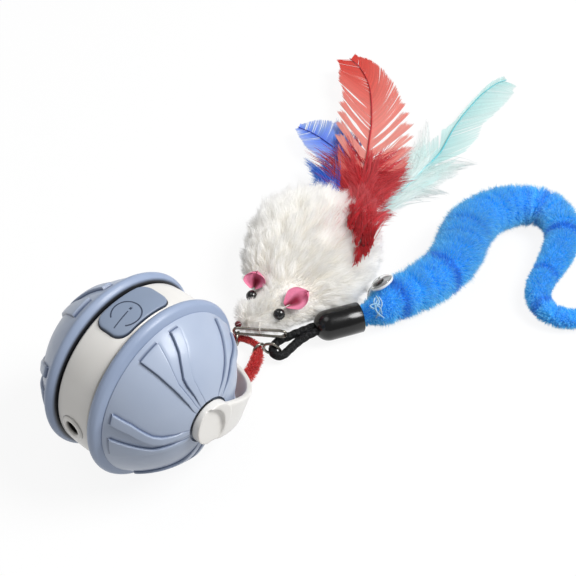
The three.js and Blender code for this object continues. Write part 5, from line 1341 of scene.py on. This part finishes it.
def vane(name, node, line, left, right, count, material, seed, locks=(), start=0.2, sweep=0.12, wide=0.5):
    """Barbs along a quill. left and right are rows of (share, reach in mm) of the outline; each barb leaves
    the quill wide and turns forward to end there. locks, rows of (side, from, to, pull, bulge), gather the
    barbs' ends into points."""
    g = np.random.default_rng(seed)
    n = len(line)
    forward, across, _ = frames(line)
    length = np.sum(np.linalg.norm(np.diff(line, axis=0), axis=1))
    first, mid, last, shares, widths = [], [], [], [], []
    for sign, outline in ((1, left), (-1, right)):
        share = np.sort(g.uniform(start, 0.997, count))
        ahead = sweep * np.interp(share, [0, 0.75, 1], [1, 1, 0.1])
        at = np.clip(share + ahead, 0, 1)
        way_share = share.copy()
        reach = np.interp(at, *np.array(outline).T) * g.uniform(0.95, 1.03, count)
        for _, low, high, pull, more in [row for row in locks if row[0] == sign]:
            inside = (share > low) & (share < high)
            middle = (low + high) / 2 + 0.02
            at[inside] += (middle + ahead[inside] - at[inside]) * pull
            way_share[inside] += (middle - share[inside]) * pull * 0.75
            bulge = 1 - np.abs((share[inside] - (low + high) / 2) / ((high - low) / 2))
            reach[inside] *= 1 - more * 0.5 + more * bulge
        i = (share * (n - 1)).astype(int)
        w = np.clip(way_share * (n - 1), 0, n - 1).astype(int)
        k = np.clip(at, 0, 1) * (n - 1)
        before = np.clip(k.astype(int), 0, n - 2)
        part = (k - before)[:, None]
        end = line[before] * (1 - part) + line[before + 1] * part + across[before] * (sign * reach)[:, None]
        end = end + forward[-1] * np.maximum(share + ahead - 1, 0)[:, None] * length
        end[:, 2] += g.normal(0, 0.12, count) + 0.05 * reach
        span = np.linalg.norm(end - line[i], axis=1) * (1 - wide) * 0.55
        first.append(line[i])
        mid.append(line[w] + forward[w] * span[:, None] + across[w] * (sign * reach * wide)[:, None])
        last.append(end)
        shares.append(share)
        widths.append(g.uniform(BARB_WIDTH * 0.8, BARB_WIDTH * 1.2, count))
    first, mid, last = np.vstack(first), np.vstack(mid), np.vstack(last)
    obj = arcs(name, first, mid, last, np.concatenate(widths), material, g, side=np.cross(mid - first, UP),
               share=np.concatenate(shares))
    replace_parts(obj, node)


def down(name, line, level, tips, count, material, seed, low=0.03, high=0.3, rise=2.5, loose=1.1, base=None,
         upright=0.42):
    """Loose down in locks: wisps leave the quill forward, between low and high along it, and bend out to
    each lock's own tip. tips has the photograph's pixels, some with a share of the count."""
    g = np.random.default_rng(seed)
    forward, _, _ = frames(line)
    first, mid, last = [], [], []
    for u, v, *few in tips:
        n = int(count * few[0]) if few else count
        tip = spot(u, v, level + g.uniform(-1.5, rise))
        share = np.clip(g.uniform(low, high) + g.normal(0, 0.05, n), 0.0, 0.95)
        i = (share * (len(line) - 1)).astype(int)
        root = line[i] if base is None else base + (line[i] - line[i[0]]) * 0.4
        root = root + g.normal(0, 0.6, (n, 3)) * [1, 1, 0.5]
        size = g.uniform(0.45, 1.05, n)[:, None]
        spread = 0.35 + (1.25 - np.minimum(size, 1.0)) * 2 * loose
        end = root + (tip - root) * size + g.normal(0, 1, (n, 3)) * [1, 1, 0.35] * spread
        span = np.linalg.norm(end - root, axis=1)[:, None]
        first.append(root)
        mid.append(root + forward[i] * span * upright + (end - root) * 0.14 + g.normal(0, 0.5, (n, 3)))
        last.append(end)
    first, mid, last = np.vstack(first), np.vstack(mid), np.vstack(last)
    first[:, 2] = np.maximum(first[:, 2], 0.8)
    arcs(name, first, mid, last, g.uniform(*WISP_WIDTHS, len(first)), material, g, floor=0.4)


def body_place(far, aside):
    """A place over the mouse's body by shares of its length back from its front and of its width to the
    side."""
    point = turned((far * BODY["length"], aside * BODY["width"], 0), BODY["heading"])
    return BODY_FRONT + point[:2]


def quill_line(root, heading, length, level, shares):
    """A level curve from the root along the heading, through shares of its length ahead and aside."""
    points = turned([[length * ahead, length * aside, level] for ahead, aside in shares], heading)
    return smooth_curve(points + [*root, 0], 260)[0]


def quill(name, line, material, thick, thin):
    """A round tube over the barbs, thick at its root and thin at its tip."""
    tube(name, line + UP * 0.35, thick + (thin - thick) * np.linspace(0, 1, len(line)), 10, material, "mouse")


def on_mouse(u, v, above):
    """The place over the mouse's body, this far above its skin, that the photograph shows at pixel (u,
    v)."""
    skin = stuffed(sphere_grid(160, 240), margin=above, **BODY).reshape(-1, 3)
    heights = np.linspace(34, 4, 61)
    gaps = np.array([np.min(np.sum((skin - spot(u, v, z)) ** 2, 1)) for z in heights])
    found = np.argmax(gaps < 1.0) if np.any(gaps < 1.0) else np.argmin(gaps)
    return spot(u, v, heights[found])


RED_LEVEL, BLUE_LEVEL, AQUA_LEVEL = 8.8, 6.6, 4.4
red_line = quill_line(body_place(0.751, -0.249), 39, 134.7, RED_LEVEL, [
    [0, 0], [0.05, -0.009], [0.141, -0.021], [0.312, -0.034], [0.485, -0.055], [0.636, -0.069],
    [0.813, -0.067], [0.934, -0.039], [1, 0]])
blue_line = quill_line(body_place(0.836, -0.068), 51.84, 74.4, BLUE_LEVEL, [
    [0, 0], [0.223, -0.117], [0.393, -0.181], [0.559, -0.201], [0.71, -0.185], [0.805, -0.143],
    [0.912, -0.081], [1, 0]])
aqua_line = quill_line(body_place(0.819, -0.235), 7.2, 141.4, AQUA_LEVEL, [
    [0, 0], [0.233, 0.011], [0.304, 0.005], [0.386, 0.004], [0.461, 0], [0.522, 0], [0.582, 0.01],
    [0.648, 0.021], [0.724, 0.029], [0.799, 0.032], [0.87, 0.032], [0.955, 0.02], [1, 0]])

vane("red_feather_vane", "red_feather", red_line,
     [(0.2, 7), (0.42, 13), (0.55, 14.5), (0.68, 14.5), (0.78, 13), (0.88, 13.2), (0.95, 10.5), (1, 6.5)],
     [(0.2, 13), (0.42, 18.5), (0.55, 17.5), (0.68, 15.5), (0.8, 12.5), (0.9, 10.2), (0.97, 7), (1, 4.5)],
     640, RED_VANE, 31, sweep=0.17, start=0.16,
     locks=[(-1, 0.27, 0.325, 0.9, 0.3), (-1, 0.33, 0.385, 0.9, 0.3), (-1, 0.39, 0.445, 0.9, 0.3),
            (-1, 0.45, 0.5, 0.88, 0.2), (-1, 0.505, 0.55, 0.85, 0.15), (-1, 0.555, 0.72, 0.1, 0.05),
            (1, 0.3, 0.37, 0.85, 0.3), (1, 0.375, 0.44, 0.9, 0.25), (1, 0.445, 0.5, 0.88, 0.2),
            (1, 0.505, 0.56, 0.85, 0.15), (1, 0.565, 0.66, 0.2, 0.05), (1, 0.67, 0.71, 0.6, 0.05)])
quill("red_quill", red_line, QUILL_RED, 0.55, 0.18)
RED_TIPS = [
    (337, 196, 0.5), (336, 186, 0.4), (333, 172, 0.4), (326, 160, 0.3), (305, 151, 0.18), (315, 147, 0.2),
    (318, 143, 0.2), (326, 152, 0.3), (332, 141, 0.3), (338, 137, 0.4), (345, 136, 0.5), (352, 132, 0.5),
    (342, 170), (347, 160), (395, 215, 0.6), (386, 205), (403, 183.5), (412.5, 179, 0.6), (407, 174),
    (411, 168, 0.7), (408, 160, 0.7), (411, 153, 0.5), (404, 149, 0.6), (397, 152, 0.7), (391, 160),
    (388, 146, 0.5), (380, 152), (372, 150), (378, 175), (360, 165), (352, 178), (386, 188), (365, 185),
    (358, 195),
]
down("red_feather_down", red_line, RED_LEVEL, RED_TIPS, 220, RED_DOWN, 32, low=0.02, high=0.26, upright=0.5)
# Down tied in at the rump: the pixel it starts from, with its share of 75 wisps for each tip
RED_FEET = [(351, 222, 0.6), (359, 230, 1.0), (366, 236, 1.1), (370, 242, 0.8), (366, 250, 0.5),
            (357, 259, 0.3)]
for k, (u, v, share) in enumerate(RED_FEET):
    tips = [(335 + 3 * k, 197, 0.8), (342 + 2 * k, 190), (350 + 2 * k, 184), (360 + k, 184), (368, 190),
            (376, 199), (390, 210, 0.4), (352 + k, 200), (366, 206), (346, 204, 0.7)]
    down("red_feather_foot_" + "abcdef"[k], red_line, 15.5, tips, int(75 * share), RED_DOWN, 33 + k, low=0.0,
         high=0.02, rise=1.5, loose=0.35, base=on_mouse(u, v, 3.4), upright=0.25)

vane("blue_feather_vane", "blue_feather", blue_line,
     [(0.2, 5), (0.5, 8), (0.7, 11), (0.85, 9.6), (0.95, 6), (1, 2)],
     [(0.2, 4), (0.5, 8), (0.72, 13), (0.87, 14), (0.95, 9.5), (1, 3)],
     300, BLUE_VANE, 41, sweep=0.1, wide=0.55,
     locks=[(1, 0.5, 0.58, 0.7, 0.2), (-1, 0.55, 0.62, 0.6, 0.2)])
quill("blue_quill", blue_line, QUILL_BLUE, 0.5, 0.16)
BLUE_TIPS = [
    (304.5, 159.5), (309, 162.5), (310, 169), (314.5, 173), (308.5, 185), (313, 183), (311, 191), (316, 165),
    (320, 160), (324, 163), (327, 168), (318, 178), (322, 172), (335, 121), (340, 125), (345, 132),
    (330, 175), (326, 158),
]
down("blue_feather_down", blue_line, BLUE_LEVEL, BLUE_TIPS, 130, BLUE_DOWN, 42, low=0.12, high=0.36, rise=1.0,
     loose=0.7, base=spot(331, 206, 9.0))

vane("aqua_feather_vane", "aqua_feather", aqua_line,
     [(0.25, 9), (0.45, 11), (0.54, 8), (0.62, 4.2), (0.7, 1.8), (0.86, 1.5), (0.94, 2.6), (1, 3.4)],
     [(0.25, 5), (0.4, 9), (0.48, 8), (0.55, 10), (0.64, 12.5), (0.72, 10.8), (0.81, 12.8), (0.9, 12.6),
      (0.96, 11), (1, 7)],
     520, AQUA_VANE, 51, sweep=0.1, wide=0.45, start=0.24,
     locks=[(-1, 0.42, 0.47, 0.6, 0.2), (1, 0.5, 0.55, 0.6, 0.2)])
quill("aqua_quill", aqua_line, QUILL_AQUA, 0.5, 0.16)
AQUA_TIPS = [
    (422, 138.5), (426, 118), (399, 148), (406, 147), (414, 143), (431, 140), (438, 146), (475.5, 163.5),
    (470, 166), (456, 176.5), (447, 180), (424, 187.5), (409, 192), (398, 203), (390, 208), (445, 165),
    (436, 172), (424, 165), (415, 158), (430, 155), (448, 194), (405, 175), (395, 190),
]
down("aqua_feather_down", aqua_line, AQUA_LEVEL, AQUA_TIPS, 120, AQUA_DOWN, 52, low=0.1, high=0.36, rise=1.2,
     loose=0.8)


# Floor and light

FLOOR_HALF, FLOOR_GAP = 3000, 0.2


def floor():
    """A matt pale sheet in the studio. To the camera, in gloss and through glass most of it shows as
    white."""
    mat, tree, _ = blank("matt_white_paper")
    path = add(tree, LIGHT_PATH)
    through = add(tree, MATH, {0: path.outputs["Is Glossy Ray"], 1: path.outputs["Is Transmission Ray"]},
                  operation="MAXIMUM")
    seen = add(tree, MATH, {0: path.outputs["Is Camera Ray"], 1: through.outputs[0]}, operation="MAXIMUM")
    share = add(tree, MATH, {0: seen.outputs[0], 1: 0.8}, operation="MULTIPLY")
    paper = add(tree, PRINCIPLED, {"Base Color": "#bcbcbc", "Roughness": 0.9, "Metallic": 0.0})
    glow = add(tree, "ShaderNodeEmission", {"Strength": 1.12})
    surfaced(mat, add(tree, MIX_SHADER, {0: share.outputs[0], 1: paper.outputs[0], 2: glow.outputs[0]}))
    corners = np.array([[-1, -1, 0], [1, -1, 0], [1, 1, 0], [-1, 1, 0]]) * FLOOR_HALF - [0, 0, FLOOR_GAP]
    piece("floor", corners + SHIFT, [[0, 1, 2, 3]], mat, None, smooth=False)


def world():
    """Even soft light from all round, and plain white where the camera looks past the floor."""
    made = bpy.data.worlds.new("world")
    bpy.context.scene.world = made
    made.use_nodes = True
    tree = made.node_tree
    tree.nodes.clear()
    soft = add(tree, "ShaderNodeBackground", {"Color": "#ffffff", "Strength": 0.31})
    white = add(tree, "ShaderNodeBackground", {"Color": "#ffffff", "Strength": 1.0})
    path = add(tree, LIGHT_PATH)
    both = add(tree, MIX_SHADER, {0: path.outputs["Is Camera Ray"], 1: soft.outputs[0], 2: white.outputs[0]})
    add(tree, "ShaderNodeOutputWorld", {"Surface": both.outputs[0]})


def lamp(name, at, target, size, power):
    """A round soft lamp, in the frame's metres, that faces its target."""
    data = bpy.data.lights.new(name, "AREA")
    data.shape = "DISK"
    data.size = size
    data.energy = power
    obj = bpy.data.objects.new(name, data)
    bpy.context.scene.collection.objects.link(obj)
    obj.location = at
    obj.rotation_euler = (Vector(target) - Vector(at)).to_track_quat("-Z", "Y").to_euler()


floor()
world()
lamp("key", (0.34, -0.56, 0.84), (-0.03, 0.02, 0.02), 0.55, 10.8)
lamp("top", (-0.2, 0.25, 1.0), (-0.05, 0, 0.02), 0.6, 1.6)
bpy.context.scene.view_settings.view_transform = "Standard"
